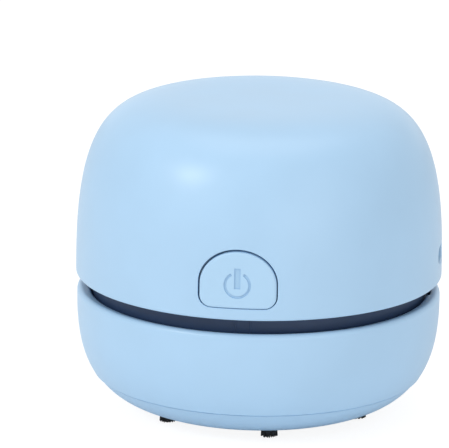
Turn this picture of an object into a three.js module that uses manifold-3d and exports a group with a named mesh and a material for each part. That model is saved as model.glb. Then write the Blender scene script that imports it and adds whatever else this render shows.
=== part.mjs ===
// A desktop mini vacuum cleaner, in millimetres, standing on a desk at height 0 with +Z up.
// The power button faces -Y and the charging socket faces +X. The body's axis is the Z axis.
import * as THREE from 'three';
import * as BufferGeometryUtils from 'three/addons/utils/BufferGeometryUtils.js';
import Module from 'manifold-3d';

const wasm = await Module();
wasm.setup();

// Outside form of the whole body
const bodyRadius = 42;
const domeRise = 40.7;
const domeSideExponent = 6.3;
const domeRiseExponent = 2.7;
const standoff = 2.2;
const baseBand = 6.3;
const bowlHeight = 26.15;
const airGap = 3.35;
const bowlInset = 0.3;
const bowlSideExponent = 5;
const bowlDropExponent = 2.6;
const bowlClosing = 1.7;
const lipRound = 1.1;
const lipFall = 0.5;
const lipFlare = 1;
const lipFlareDepth = 0.8;
const lipStartAngle = 20;
const rimRound = 0.6;
const seamStep = 0.25;

// Walls and clearances
const shellWall = 2.2;
const collarWall = 3.1;
const seatGap = 0.3;
const turnGap = 0.4;
const slideGap = 0.2;
const overrun = 2;

// How finely round things are divided
const bodySteps = 36;
const innerSteps = 24;
const rodSteps = 12;
const outerRows = 9;
const innerRows = 5;
const plateRows = 4;
const bowlRows = 6;
const lipRows = 3;
const cornerRows = 2;
const bladeRows = 5;
const curveSteps = 6;
const arcStep = 9;

// Base plate, its screws and the intake duct
const baseFloor = 1.8;
const ductBore = 9.2;
const ductWall = 1.4;
const ductFlangeRadius = 13.4;
const ductFlange = 1.5;
const ductRiseShare = 0.255;
const mouthFlare = 0.8;
const baseScrewCircle = 18.2;
const baseTowerRadius = 3.8;
const baseTowerRise = 2.2;
const baseTowerSeat = 1.4;
const fixingCount = 3;
const fixingStart = 90;

// Bristle tufts on their backing strips
const tuftInset = 3.6;
const tuftCount = 6;
const tuftStart = -77;
const tuftsPerStrip = 2;
const tuftRootRadius = 1.75;
const tuftTipRadius = 2.05;
const tuftHoleGap = 0.45;
const strandsPerTuft = 50;
const strandRadius = 0.16;
const strandSides = 3;
const strandBite = 0.5;
const stripHalfWidth = 2.7;
const stripThickness = 2;
const stripOverhang = 6;

// Dust bowl inside
const bowlFloor = 1.6;
const ledgeWidth = 2.6;
const ledgeThickness = 1.3;
const ledgeTaper = 2.5;

// Filter
const filterFlange = 1.2;
const cupInset = 3.6;
const cupWall = 1.4;
const cupDepthShare = 0.408;
const cupFloor = 1.2;
const cupBarWidth = 1.6;
const cupBarCount = 3;
const cupHubRadius = 5;
const spongeGap = 0.4;

// Fan housing, whose skirt plugs into the bowl's collar
const skirtDepth = 6.65;
const skirtWall = 2;
const deckRecess = 2.3;
const deckThickness = 1.5;
const eyeRadius = 11;
const guardBarWidth = 1.2;
const guardRingRadius = 5.5;
const sealRise = 0.9;
const sealGroove = 0.8;
const sealHeight = 1.2;
const sealThickness = 0.9;
const lugRise = 1;
const lugHeight = 1.4;
const lugReach = 1.3;
const lugWidthAngle = 10;
const lugSlackAngle = 1;
const lugPlaces = [4, 90, 176];
const twistAngle = 25;
const ventCount = 8;
const ventStart = 24;
const ventEnd = 156;
const ventRibAngle = 5;
const ventMargin = 0.2;
const markPlaces = [-91.2, -86];
const markRadius = 0.7;
const postRadius = 3.2;
const postSink = 0.5;
const postSeat = 4.6;

// Impeller
const impellerGap = 5.3;
const bladeCount = 9;
const bladeRootRadius = 9;
const bladeSweep = 48;
const bladeThickness = 1;
const bladeGap = 0.7;
const backPlate = 1;
const fanGap = 1.5;
const hubRadius = 3;
const hubRise = 0.6;

// Motor and the plate that carries it
const plateRise = 0.8;
const plateThickness = 1.6;
const plateGap = 0.5;
const motorSeatRise = 1.2;
const motorSeatLip = 1.2;
const motorRadius = 12.2;
const roofGap = 3;
const bellInset = 0.3;
const bellThickness = 3;
const bearingRadius = 2.8;
const bearingLength = 1.5;
const shaftRadius = 1;
const shaftInMotor = 5;
const shaftGap = 0.07;
const motorScrewCircle = 8;
const motorScrewCount = 2;
const motorScrewDepth = 3;
const motorScrewRecess = 1.7;
const terminalPlace = 5;
const terminalWidth = 2.2;
const terminalThickness = 0.5;
const terminalHeight = 3;

// Screws
const shankRadius = 1.1;
const headRadius = 2.2;
const headHeight = 1.4;
const driveWidth = 0.6;
const driveLength = 2.6;
const driveDepth = 0.7;
const shankGap = 0.3;
const caseScrewBite = 8;
const baseScrewBite = 2.6;
const bossDepth = 12;
const webThickness = 1.6;

// Battery and its cradles
const cellMotorGap = 2.4;
const cellPostGap = 1.7;
const cellWallGap = 3.43;
const cellCap = 1.5;
const cellCapRadius = 2.75;
const cellEdge = 0.5;
const cellStand = 1.4;
const cradleInset = 9.25;
const cradleThickness = 2.4;
const cradleHalfWidth = 6;
const cradleDrop = 2.5;
const tabThickness = 0.3;
const tabWidth = 5;
const tabHeight = 8;

// Charging board and socket
const boardMotorGap = 7.1;
const boardWallGap = 1.8;
const boardHalfWidth = 7.2;
const boardThickness = 1;
const boardStand = 0.7;
const pegInset = 2.1;
const pegSpread = 5.4;
const pegRadius = 0.8;
const standRadius = 1.6;
const chipSize = 3.6;
const chipHeight = 1.1;
const socketHalfWidth = 4.5;
const socketHeight = 3.2;
const socketDepth = 7.4;
const socketWall = 0.35;
const socketFloor = 1.2;
const tongueHalfWidth = 3.3;
const tongueThickness = 0.7;
const tongueSetback = 0.8;
const socketOpeningGap = 0.35;

// Power button, its symbol and its switch
const buttonRise = 8.2;
const buttonHalfWidth = 8.5;
const buttonArch = 7.5;
const buttonDrop = 5.1;
const buttonCorner = 2.5;
const buttonGap = 0.4;
const buttonProud = 0.25;
const buttonLip = 1.1;
const buttonLipThickness = 1;
const buttonTravel = 1.2;
const symbolRadius = 3.05;
const symbolStroke = 0.6;
const symbolOpening = 30;
const symbolBarWidth = 1.4;
const symbolBarRise = 3.75;
const symbolBarDrop = 0.85;
const symbolDepth = 0.3;
const stemRadius = 2.2;
const stemLength = 1;
const plungerRadius = 1.5;
const plungerReach = 1.5;
const switchHalfWidth = 3.8;
const switchFloor = 0.6;
const switchBoardHalfWidth = 7.5;
const switchBoardHeight = 11.6;
const switchBoardThickness = 1.2;
const switchPostWall = 1.6;
const switchPostGrip = 1.2;
const switchPostHeight = 9;

// Leads
const leadRadius = 0.6;
const leadSides = 8;
const leadSteps = 14;

// Levels above the desk, and radii, that follow from the sizes above
const baseLevel = standoff;
const seamLevel = baseLevel + baseBand;
const lipLevel = baseLevel + bowlHeight;
const rimLevel = lipLevel + airGap;
const bowlWidestLevel = lipLevel - lipRound;
const bowlRadius = bodyRadius - bowlInset;
const domeInner = bodyRadius - shellWall;
const collarRadius = bowlRadius - collarWall;
const skirtRadius = collarRadius - turnGap;
const skirtInner = skirtRadius - skirtWall;
const caseScrewCircle = skirtInner + postSink - postRadius;
const postInner = caseScrewCircle - postRadius;
const impellerRadius = postInner - impellerGap;
const baseFloorTop = baseLevel + baseFloor;
const baseTowerTop = baseFloorTop + baseTowerRise;
const stripFoot = baseFloorTop + seatGap;
const bowlFloorLevel = seamLevel + seatGap;
const bowlFloorTop = bowlFloorLevel + bowlFloor;
const tuftCircle = bowlOuter(baseLevel) - tuftInset;
const skirtFoot = lipLevel - skirtDepth;
const flangeTop = skirtFoot - seatGap;
const flangeFoot = flangeTop - filterFlange;
const ledgeLevel = flangeFoot - seatGap;
const ledgeInner = collarRadius - ledgeWidth;
const cupRadius = ledgeInner - cupInset;
const cupInner = cupRadius - cupWall;
const bowlRoom = flangeFoot - bowlFloorTop;
const cupFoot = flangeFoot - bowlRoom * cupDepthShare;
const ductTop = bowlFloorTop + bowlRoom * ductRiseShare;
const deckFoot = skirtFoot + deckRecess;
const deckTop = deckFoot + deckThickness;
const grooveFoot = skirtFoot + sealRise;
const grooveTop = grooveFoot + sealHeight + 2 * slideGap;
const lugFoot = grooveTop + lugRise;
const lugTop = lugFoot + lugHeight;
const lugRadius = skirtRadius + lugReach;
const plateFoot = rimLevel + plateRise;
const plateTop = plateFoot + plateThickness;
const plateRadius = domeInner - plateGap;
const wallTop = plateFoot - seatGap;
const postSeatLevel = wallTop - postSeat;
const bladeFoot = deckTop + bladeGap;
const backPlateTop = plateFoot - fanGap;
const bladeTop = backPlateTop - backPlate;
const motorSeatTop = plateTop + motorSeatRise;
const motorFoot = motorSeatTop + seatGap;
const roofLevel = rimLevel + domeRise - shellWall;
const terminalFoot = roofLevel - roofGap - terminalHeight;
const bellTop = terminalFoot - seatGap;
const bellFoot = bellTop - bellThickness;
const motorTop = bellFoot - seatGap;
const shaftHoleRadius = shaftRadius + shaftGap;
const shankHoleRadius = shankRadius + shankGap;
const headHoleRadius = headRadius + shankGap;
const plateHoleRadius = bearingRadius + seatGap;
const bossFoot = plateTop + seatGap;
const cellRadius = (postInner - motorRadius - cellMotorGap - cellPostGap) / 2;
const cellPlace = motorRadius + cellMotorGap + cellRadius;
const cellLevel = plateTop + cellStand + cellRadius;
const cellHalf = Math.sqrt(domeInner ** 2 - (cellPlace + cellRadius) ** 2) - cellWallGap;
const cradlePlace = cellHalf - cradleInset;
const boardNear = motorRadius + motorSeatLip + boardMotorGap;
const boardFar = domeInner - boardWallGap;
const boardFoot = plateTop + boardStand + seatGap;
const boardTop = boardFoot + boardThickness;
const socketLevel = boardTop + seatGap + socketHeight / 2;
const socketFront = domeInner - seatGap - socketWall;
const socketNear = socketFront - socketDepth;
const buttonLevel = rimLevel + buttonRise;

// Distances in front of the axis of the button's back and of the switch behind it
const lipFront = domeInner - seatGap;
const lipHalfWidth = buttonHalfWidth + buttonLip;
const buttonBack = Math.sqrt(lipFront ** 2 - lipHalfWidth ** 2) - buttonLipThickness;
const stemTip = buttonBack - stemLength;
const plungerTip = stemTip - seatGap;
const switchFace = plungerTip - plungerReach;
const plungerFoot = switchFace - buttonTravel;
const switchBoreFloor = plungerFoot - buttonTravel - slideGap;
const switchBack = switchBoreFloor - switchFloor;
const switchBoardFront = switchBack - seatGap;
const switchBoardBack = switchBoardFront - switchBoardThickness;

// Makes a closed geometry a solid that can be joined and cut.
function solid(geometry) {
  geometry.deleteAttribute('normal');
  geometry.deleteAttribute('uv');
  const merged = BufferGeometryUtils.mergeVertices(geometry);
  const corners = merged.index.array;
  const kept = [];
  for (let i = 0; i < corners.length; i += 3) {
    const [a, b, c] = corners.subarray(i, i + 3);
    if (a !== b && b !== c && c !== a) kept.push(a, b, c);
  }
  const vertProperties = merged.attributes.position.array;
  const triVerts = new Uint32Array(kept);
  return new wasm.Manifold(new wasm.Mesh({ numProp: 3, vertProperties, triVerts }));
}

function join(solids) {
  return solids.reduce((whole, one) => whole.add(one));
}

function cut(body, tools) {
  return tools.reduce((left, tool) => left.subtract(tool), body);
}

// A profile is a list of [radius, height] pairs, walked so that the material lies on its left.
// One that starts and ends on the axis is revolved as it stands.
function revolve(profile, steps) {
  const points = profile.map(([radius, height]) => new THREE.Vector2(radius, height));
  const geometry = new THREE.LatheGeometry(points, steps);
  geometry.rotateX(Math.PI / 2);
  return solid(geometry);
}

// A profile clear of the axis is closed on itself.
function ring(profile, steps) {
  return revolve([...profile, profile[0]], steps);
}

function tube(inner, outer, low, high, steps) {
  return ring([[inner, low], [outer, low], [outer, high], [inner, high]], steps);
}

// An upright round rod between two levels.
function rod(radius, low, high, [x, y] = [0, 0], steps = rodSteps) {
  const geometry = new THREE.CylinderGeometry(radius, radius, high - low, steps);
  geometry.rotateX(Math.PI / 2);
  geometry.translate(x, y, (low + high) / 2);
  return solid(geometry);
}

// A round rod along Y, between two distances in front of the axis.
function frontRod(radius, near, far, level) {
  const geometry = new THREE.CylinderGeometry(radius, radius, far - near, rodSteps);
  geometry.translate(0, -(near + far) / 2, level);
  return solid(geometry);
}

function block([x0, x1], [y0, y1], [z0, z1]) {
  const geometry = new THREE.BoxGeometry(x1 - x0, y1 - y0, z1 - z0);
  geometry.translate((x0 + x1) / 2, (y0 + y1) / 2, (z0 + z1) / 2);
  return solid(geometry);
}

function prism(shape, low, high) {
  const options = { depth: high - low, bevelEnabled: false, curveSegments: curveSteps };
  const geometry = new THREE.ExtrudeGeometry(shape, options);
  geometry.translate(0, 0, low);
  return geometry;
}

// An outline seen from the front, extruded between two distances in front of the axis.
function frontPrism(shape, near, far, level) {
  const geometry = prism(shape, near, far);
  geometry.rotateX(Math.PI / 2);
  geometry.translate(0, 0, level);
  return solid(geometry);
}

// An outline seen from +X, extruded between two distances from the axis.
function sidePrism(shape, near, far, level) {
  const geometry = prism(shape, near, far);
  const across = new THREE.Vector3(0, 1, 0);
  const up = new THREE.Vector3(0, 0, 1);
  const out = new THREE.Vector3(1, 0, 0);
  geometry.applyMatrix4(new THREE.Matrix4().makeBasis(across, up, out));
  geometry.translate(0, 0, level);
  return solid(geometry);
}

function place(radius, degrees) {
  const angle = THREE.MathUtils.degToRad(degrees);
  return [radius * Math.cos(angle), radius * Math.sin(angle)];
}

// Part of a flat ring between two angles.
function sector(inner, outer, from, to, low, high) {
  const count = Math.ceil((to - from) / arcStep);
  const shape = new THREE.Shape();
  for (let i = 0; i <= count; i += 1) {
    shape.lineTo(...place(outer, from + (to - from) * i / count));
  }
  for (let i = count; i >= 0; i -= 1) {
    shape.lineTo(...place(inner, from + (to - from) * i / count));
  }
  shape.curves.shift();
  return solid(prism(shape, low, high));
}

function evenAngles(count, start) {
  return Array.from({ length: count }, (unused, i) => start + i * 360 / count);
}

// Two ends of a span that grows outwards from the axis on one side.
function span(side, near, far) {
  return side > 0 ? [near, far] : [-far, -near];
}

const fixingAngles = evenAngles(fixingCount, fixingStart);
const baseFixingStart = tuftStart + (tuftsPerStrip - 1 / 2) * 360 / tuftCount;
const basePlaces = evenAngles(fixingCount, baseFixingStart).map((angle) => place(baseScrewCircle, angle));
const casePlaces = fixingAngles.map((angle) => place(caseScrewCircle, angle));
const motorScrewPlaces = evenAngles(motorScrewCount, 0).map((angle) => place(motorScrewCircle, angle));
const pegPlaces = [-1, 1].map((side) => [boardNear + pegInset, side * pegSpread]);

// The dome's curve, grown by an offset, from a start level up to the axis.
function domeCurve(offset, startLevel, rows = outerRows) {
  const radius = bodyRadius + offset;
  const rise = domeRise + offset;
  const start = Math.asin(((startLevel - rimLevel) / rise) ** (domeRiseExponent / 2));
  const points = [];
  for (let i = 0; i <= rows; i += 1) {
    const angle = start + (Math.PI / 2 - start) * i / rows;
    const r = i === rows ? 0 : radius * Math.cos(angle) ** (2 / domeSideExponent);
    points.push([r, rimLevel + rise * Math.sin(angle) ** (2 / domeRiseExponent)]);
  }
  return points;
}

// A solid with the dome's outside, grown by an offset.
function domeSolid(offset) {
  const foot = rimLevel - overrun;
  return revolve([[0, foot], [bodyRadius + offset, foot], ...domeCurve(offset, rimLevel)], bodySteps);
}

// Radius of the lower body's outside at a level.
function bowlOuter(level) {
  const depth = bowlWidestLevel - baseLevel + bowlClosing;
  const drop = (bowlWidestLevel - level) / depth;
  return bowlRadius * (1 - drop ** bowlDropExponent) ** (1 / bowlSideExponent);
}

// Points on the lower body's outside, or set in from it, between two levels.
function bowlCurve(from, to, rows, inset = 0) {
  const points = [];
  for (let i = 0; i <= rows; i += 1) {
    const level = from + (to - from) * i / rows;
    points.push([bowlOuter(level) - inset, level]);
  }
  return points;
}

// A quarter round from one angle to another, as profile points.
function corner(radius, height, size, from, to, rows) {
  return Array.from({ length: rows + 1 }, (unused, i) => {
    const [across, up] = place(size, from + (to - from) * i / rows);
    return [radius + across, height + up];
  });
}

const shellBlue = new THREE.MeshStandardMaterial({ color: '#afd3f2', roughness: 0.45, metalness: 0 });
const darkPlastic = new THREE.MeshStandardMaterial({ color: '#27374f', roughness: 0.4, metalness: 0 });
const greyPlastic = new THREE.MeshStandardMaterial({ color: '#3a3d42', roughness: 0.5, metalness: 0 });
const whitePlastic = new THREE.MeshStandardMaterial({ color: '#e6e8ea', roughness: 0.5, metalness: 0 });
const bristleBlack = new THREE.MeshStandardMaterial({ color: '#15191e', roughness: 0.6, metalness: 0 });
const sealRubber = new THREE.MeshStandardMaterial({ color: '#202226', roughness: 0.8, metalness: 0 });
const foamGrey = new THREE.MeshStandardMaterial({ color: '#4a4d52', roughness: 0.95, metalness: 0 });
const plated = new THREE.MeshStandardMaterial({ color: '#c3c6c9', roughness: 0.3, metalness: 1 });
const boardGreen = new THREE.MeshStandardMaterial({ color: '#1f5a3c', roughness: 0.5, metalness: 0 });
const cellBlue = new THREE.MeshStandardMaterial({ color: '#2a66b8', roughness: 0.35, metalness: 0 });
const leadRed = new THREE.MeshStandardMaterial({ color: '#b3221f', roughness: 0.5, metalness: 0 });
const leadBlack = new THREE.MeshStandardMaterial({ color: '#1b1b1d', roughness: 0.5, metalness: 0 });

// Turns a solid into a named mesh in a material.
function piece(name, shape, material) {
  const { numProp, vertProperties, triVerts } = shape.getMesh();
  const geometry = new THREE.BufferGeometry();
  geometry.setAttribute('position', new THREE.BufferAttribute(vertProperties, numProp));
  geometry.setIndex(new THREE.BufferAttribute(triVerts, 1));
  geometry.computeVertexNormals();
  const mesh = new THREE.Mesh(geometry, material);
  mesh.name = name;
  return mesh;
}

// A pan-head screw with its head's top face at height 0 and its shank running up from it.
function screw(name, length) {
  const head = rod(headRadius, -headHeight, 0);
  const shank = rod(shankRadius, -headHeight / 2, length);
  const drive = [-headHeight - overrun, driveDepth - headHeight];
  const half = [-driveLength / 2, driveLength / 2];
  const narrow = [-driveWidth / 2, driveWidth / 2];
  const body = cut(join([head, shank]), [block(half, narrow, drive), block(narrow, half, drive)]);
  return piece(name, body, plated);
}

// The base plate, a shallow dish with the mouth, tuft holes and screw towers.
function basePlate() {
  const rimInner = bowlOuter(seamLevel) - seamStep - shellWall;
  const mouth = ductBore + mouthFlare;
  const dish = ring([
    [mouth, baseLevel],
    ...bowlCurve(baseLevel, seamLevel, plateRows, seamStep),
    [rimInner, seamLevel],
    [bowlOuter(stripFoot) - seamStep - shellWall, baseFloorTop],
    [ductBore, baseFloorTop],
    [ductBore, baseLevel + mouthFlare],
  ], bodySteps);
  const towerSeat = baseTowerTop - baseTowerSeat;
  const floorMiddle = baseLevel + baseFloor / 2;
  const towers = basePlaces.map((spot) => rod(baseTowerRadius, floorMiddle, baseTowerTop, spot));
  const headHoles = basePlaces.map((spot) => rod(headHoleRadius, baseLevel - overrun, towerSeat, spot));
  const shankHoles = basePlaces.map((spot) => rod(shankHoleRadius, baseLevel, baseTowerTop + overrun, spot));
  const tuftHoleRadius = tuftTipRadius + tuftHoleGap;
  const tuftPlaces = evenAngles(tuftCount, tuftStart).map((angle) => place(tuftCircle, angle));
  const tuftHoles = tuftPlaces.map((spot) => (
    rod(tuftHoleRadius, baseLevel - overrun, baseFloorTop + overrun, spot)));
  return cut(join([dish, ...towers]), [...headHoles, ...shankHoles, ...tuftHoles]);
}

// The intake duct, a flanged chimney that keeps dust in the bowl.
function intakeDuct() {
  const outer = ductBore + ductWall;
  const foot = baseFloorTop + seatGap;
  return ring([
    [ductBore, foot],
    [ductFlangeRadius, foot],
    [ductFlangeRadius, foot + ductFlange],
    [outer, foot + ductFlange],
    [outer, ductTop],
    [ductBore, ductTop],
  ], innerSteps);
}

// The outline of a rod with few sides.
function polygon(radius, sides) {
  return new THREE.Shape(evenAngles(sides, 0).map((angle) => new THREE.Vector2(...place(radius, angle))));
}

// One bristle, splayed outwards to a tip trimmed level with the desk.
function strand([rootX, rootY], [tipX, tipY]) {
  const top = stripFoot + strandBite;
  const geometry = prism(polygon(strandRadius, strandSides), 0, top);
  const splay = new THREE.Matrix4().makeShear(0, 0, 0, 0, (rootX - tipX) / top, (rootY - tipY) / top);
  geometry.applyMatrix4(splay);
  geometry.translate(tipX, tipY, 0);
  return solid(geometry);
}

// A backing strip with its tufts. Each tuft's strands fill a disc in a sunflower's order.
function brushStrip(index) {
  const spacing = 360 / tuftCount;
  const first = tuftStart + index * tuftsPerStrip * spacing;
  const last = first + (tuftsPerStrip - 1) * spacing;
  const inner = tuftCircle - stripHalfWidth;
  const outer = tuftCircle + stripHalfWidth;
  const turns = (3 - Math.sqrt(5)) * 180;
  const stripTop = stripFoot + stripThickness;
  let strip = sector(inner, outer, first - stripOverhang, last + stripOverhang, stripFoot, stripTop);
  for (let t = 0; t < tuftsPerStrip; t += 1) {
    const [x, y] = place(tuftCircle, first + t * spacing);
    for (let i = 0; i < strandsPerTuft; i += 1) {
      const share = Math.sqrt((i + 0.5) / strandsPerTuft);
      const root = place((tuftRootRadius - strandRadius) * share, i * turns);
      const tip = place((tuftTipRadius - strandRadius) * share, i * turns);
      strip = strip.add(strand([x + root[0], y + root[1]], [x + tip[0], y + tip[1]]));
    }
  }
  return strip;
}

// The lower shell: the dust bowl with its collar, filter ledge, twist slots and screw bosses.
function lowerShell() {
  const ductHole = ductBore + ductWall + seatGap;
  const ledgeFoot = ledgeLevel - ledgeThickness;
  const wallFoot = ledgeFoot - ledgeTaper;
  const bowl = ring([
    [ductHole, bowlFloorLevel],
    ...bowlCurve(bowlFloorLevel, bowlWidestLevel, bowlRows),
    ...corner(bowlRadius - lipRound, bowlWidestLevel, lipRound, lipStartAngle, 90, lipRows),
    [collarRadius + lipFlare, lipLevel - lipFall],
    [collarRadius, lipLevel - lipFall - lipFlareDepth],
    [collarRadius, ledgeLevel],
    [ledgeInner, ledgeLevel],
    [ledgeInner, ledgeFoot],
    ...bowlCurve(wallFoot, bowlFloorTop, cornerRows, shellWall),
    [ductHole, bowlFloorTop],
  ], bodySteps);
  const slotFoot = lugFoot - seatGap;
  const slotTop = lugTop + seatGap;
  const slotRadius = lugRadius + seatGap;
  const halfLug = lugWidthAngle / 2 + lugSlackAngle;
  const inner = collarRadius - overrun;
  const entries = lugPlaces.map((angle) => (
    sector(inner, slotRadius, angle - halfLug, angle + halfLug, slotFoot, lipLevel + overrun)));
  const slots = lugPlaces.map((angle) => (
    sector(inner, slotRadius, angle - halfLug - twistAngle, angle + halfLug, slotFoot, slotTop)));
  const floorMiddle = bowlFloorLevel + bowlFloor / 2;
  const bosses = basePlaces.map((spot) => rod(postRadius, baseTowerTop + seatGap, floorMiddle, spot));
  const pilots = basePlaces.map((spot) => rod(shankHoleRadius, baseTowerTop, floorMiddle, spot));
  return cut(join([bowl, ...bosses]), [...entries, ...slots, ...pilots]);
}

// The filter frame: a flanged cup with an open grid for a floor.
function filterFrame() {
  const cup = ring([
    [cupInner, cupFoot],
    [cupRadius, cupFoot],
    [cupRadius, flangeFoot],
    [skirtRadius, flangeFoot],
    [skirtRadius, flangeTop],
    [cupInner, flangeTop],
  ], innerSteps);
  const hub = rod(cupHubRadius, cupFoot, cupFoot + cupFloor);
  const bars = evenAngles(cupBarCount, 0).map((angle) => {
    const reach = cupInner + cupWall / 2;
    const geometry = new THREE.BoxGeometry(2 * reach, cupBarWidth, cupFloor);
    geometry.rotateZ(THREE.MathUtils.degToRad(angle / 2));
    geometry.translate(0, 0, cupFoot + cupFloor / 2);
    return solid(geometry);
  });
  return join([cup, hub, ...bars]);
}

// The sponge disc, with slightly softened edges.
function filterSponge() {
  const foot = cupFoot + cupFloor + seatGap;
  const radius = cupInner - spongeGap;
  return revolve([
    [0, foot],
    [radius - spongeGap, foot],
    [radius, foot + spongeGap],
    [radius, flangeTop - spongeGap],
    [radius - spongeGap, flangeTop],
    [0, flangeTop],
  ], innerSteps);
}

// The seal ring in its groove round the skirt.
function sealRing() {
  const inner = skirtRadius - sealGroove + slideGap;
  const foot = grooveFoot + slideGap;
  return tube(inner, inner + sealThickness, foot, foot + sealHeight, bodySteps);
}

// The fan housing: the dark wall in the air gap, the deck with its guarded eye, and the screw posts.
function fanHousing() {
  const grooveRadius = skirtRadius - sealGroove;
  const shell = ring([
    [skirtInner, skirtFoot],
    [skirtRadius, skirtFoot],
    [skirtRadius, grooveFoot],
    [grooveRadius, grooveFoot],
    [grooveRadius, grooveTop],
    [skirtRadius, grooveTop],
    [skirtRadius, wallTop],
    [skirtInner, wallTop],
    [skirtInner, deckTop],
    [eyeRadius, deckTop],
    [eyeRadius, deckFoot],
    [skirtInner, deckFoot],
  ], bodySteps);
  const posts = casePlaces.map((spot) => rod(postRadius, deckFoot, wallTop, spot));
  const marks = markPlaces.map((angle) => rod(markRadius, lipLevel, wallTop, place(skirtRadius, angle)));
  const headHoles = casePlaces.map((spot) => rod(headHoleRadius, deckFoot - overrun, postSeatLevel, spot));
  const shankHoles = casePlaces.map((spot) => rod(shankHoleRadius, deckFoot, wallTop + overrun, spot));
  const body = join([cut(shell, vents()), ...lugs(), ...eyeGuard(), ...posts, ...marks]);
  return cut(body, [...headHoles, ...shankHoles]);
}

// The lugs round the skirt that turn into the collar's slots.
function lugs() {
  const half = lugWidthAngle / 2;
  const root = skirtInner + skirtWall / 2;
  return lugPlaces.map((angle) => sector(root, lugRadius, angle - half, angle + half, lugFoot, lugTop));
}

// The cross and ring that guard the eye.
function eyeGuard() {
  const reach = [-eyeRadius - guardBarWidth, eyeRadius + guardBarWidth];
  const half = guardBarWidth / 2;
  const foot = deckTop - guardBarWidth;
  return [
    block(reach, [-half, half], [foot, deckTop]),
    block([-half, half], reach, [foot, deckTop]),
    tube(guardRingRadius - half, guardRingRadius + half, foot, deckTop, rodSteps),
  ];
}

// Cutters for the row of outlet vents in the wall's rear half.
function vents() {
  const pitch = (ventEnd - ventStart) / ventCount;
  const reach = [skirtInner - overrun, skirtRadius + overrun];
  return Array.from({ length: ventCount }, (unused, i) => {
    const from = ventStart + i * pitch + ventRibAngle / 2;
    return sector(...reach, from, from + pitch - ventRibAngle, lipLevel, rimLevel - ventMargin);
  });
}

// One impeller blade, swept back along a curve from its root to its tip.
function blade(angle) {
  const front = [];
  const back = [];
  for (let i = 0; i <= bladeRows; i += 1) {
    const share = i / bladeRows;
    const radius = bladeRootRadius + (impellerRadius - bladeThickness - bladeRootRadius) * share;
    const sweep = angle - bladeSweep * share * share;
    const half = THREE.MathUtils.radToDeg(bladeThickness / 2 / radius);
    front.push(new THREE.Vector2(...place(radius, sweep - half)));
    back.unshift(new THREE.Vector2(...place(radius, sweep + half)));
  }
  return solid(prism(new THREE.Shape([...front, ...back]), bladeFoot, bladeTop + backPlate / 2));
}

function impeller() {
  const disc = rod(impellerRadius, bladeTop, backPlateTop, [0, 0], innerSteps);
  const hub = rod(hubRadius, bladeFoot, backPlateTop + hubRise);
  const blades = evenAngles(bladeCount, 0).map((angle) => blade(angle));
  const bore = rod(shaftHoleRadius, bladeFoot - overrun, plateTop);
  return join([disc, hub, ...blades]).subtract(bore);
}

function motorShaft() {
  return rod(shaftRadius, bladeFoot, motorFoot + shaftInMotor);
}

// The motor's can, with its front bearing, shaft bore and two threaded holes.
function motorCan() {
  const bearingFoot = motorFoot - bearingLength;
  const can = revolve([
    [0, bearingFoot],
    [bearingRadius, bearingFoot],
    [bearingRadius, motorFoot],
    [motorRadius - rimRound, motorFoot],
    [motorRadius, motorFoot + rimRound],
    [motorRadius, motorTop],
    [0, motorTop],
  ], innerSteps);
  const bore = rod(shaftHoleRadius, bearingFoot - overrun, motorFoot + shaftInMotor + seatGap);
  const threads = motorScrewPlaces.map((spot) => (
    rod(shankHoleRadius, motorFoot - overrun, motorFoot + motorScrewDepth + seatGap, spot)));
  return cut(can, [bore, ...threads]);
}

function motorEndBell() {
  const radius = motorRadius - bellInset;
  return revolve([
    [0, bellFoot],
    [radius, bellFoot],
    [radius, bellTop - rimRound],
    [radius - rimRound, bellTop],
    [bearingRadius, bellTop],
    [bearingRadius, bellTop + bearingLength],
    [0, bellTop + bearingLength],
  ], innerSteps);
}

function motorTerminal(side) {
  const centre = side * terminalPlace;
  const across = [centre - terminalThickness / 2, centre + terminalThickness / 2];
  const levels = [terminalFoot, terminalFoot + terminalHeight];
  return block(across, [-terminalWidth / 2, terminalWidth / 2], levels);
}

// A cradle rib under the battery.
function cradle(side) {
  const centre = side * cradlePlace;
  const across = [centre - cradleThickness / 2, centre + cradleThickness / 2];
  const along = [cellPlace - cradleHalfWidth, cellPlace + cradleHalfWidth];
  return block(across, along, [plateTop - plateThickness / 2, cellLevel - cradleDrop]);
}

function cellCylinder(radius, reach) {
  const geometry = new THREE.CylinderGeometry(radius, radius, 2 * reach, innerSteps);
  geometry.rotateZ(Math.PI / 2);
  geometry.translate(0, cellPlace, cellLevel);
  return solid(geometry);
}

// A slotted post that holds one edge of the switch board.
function switchPost(side) {
  const inner = switchBoardHalfWidth - switchPostGrip;
  const edge = switchBoardHalfWidth + seatGap;
  const top = plateTop + switchPostHeight;
  const along = [-switchBoardFront - switchPostWall, switchPostWall - switchBoardBack];
  const slotAlong = [-switchBoardFront - seatGap, seatGap - switchBoardBack];
  const post = block(span(side, inner, edge + switchPostWall), along, [plateTop - plateThickness / 2, top]);
  const slot = block(span(side, inner - overrun, edge), slotAlong, [plateTop, top + overrun]);
  return post.subtract(slot);
}

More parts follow.
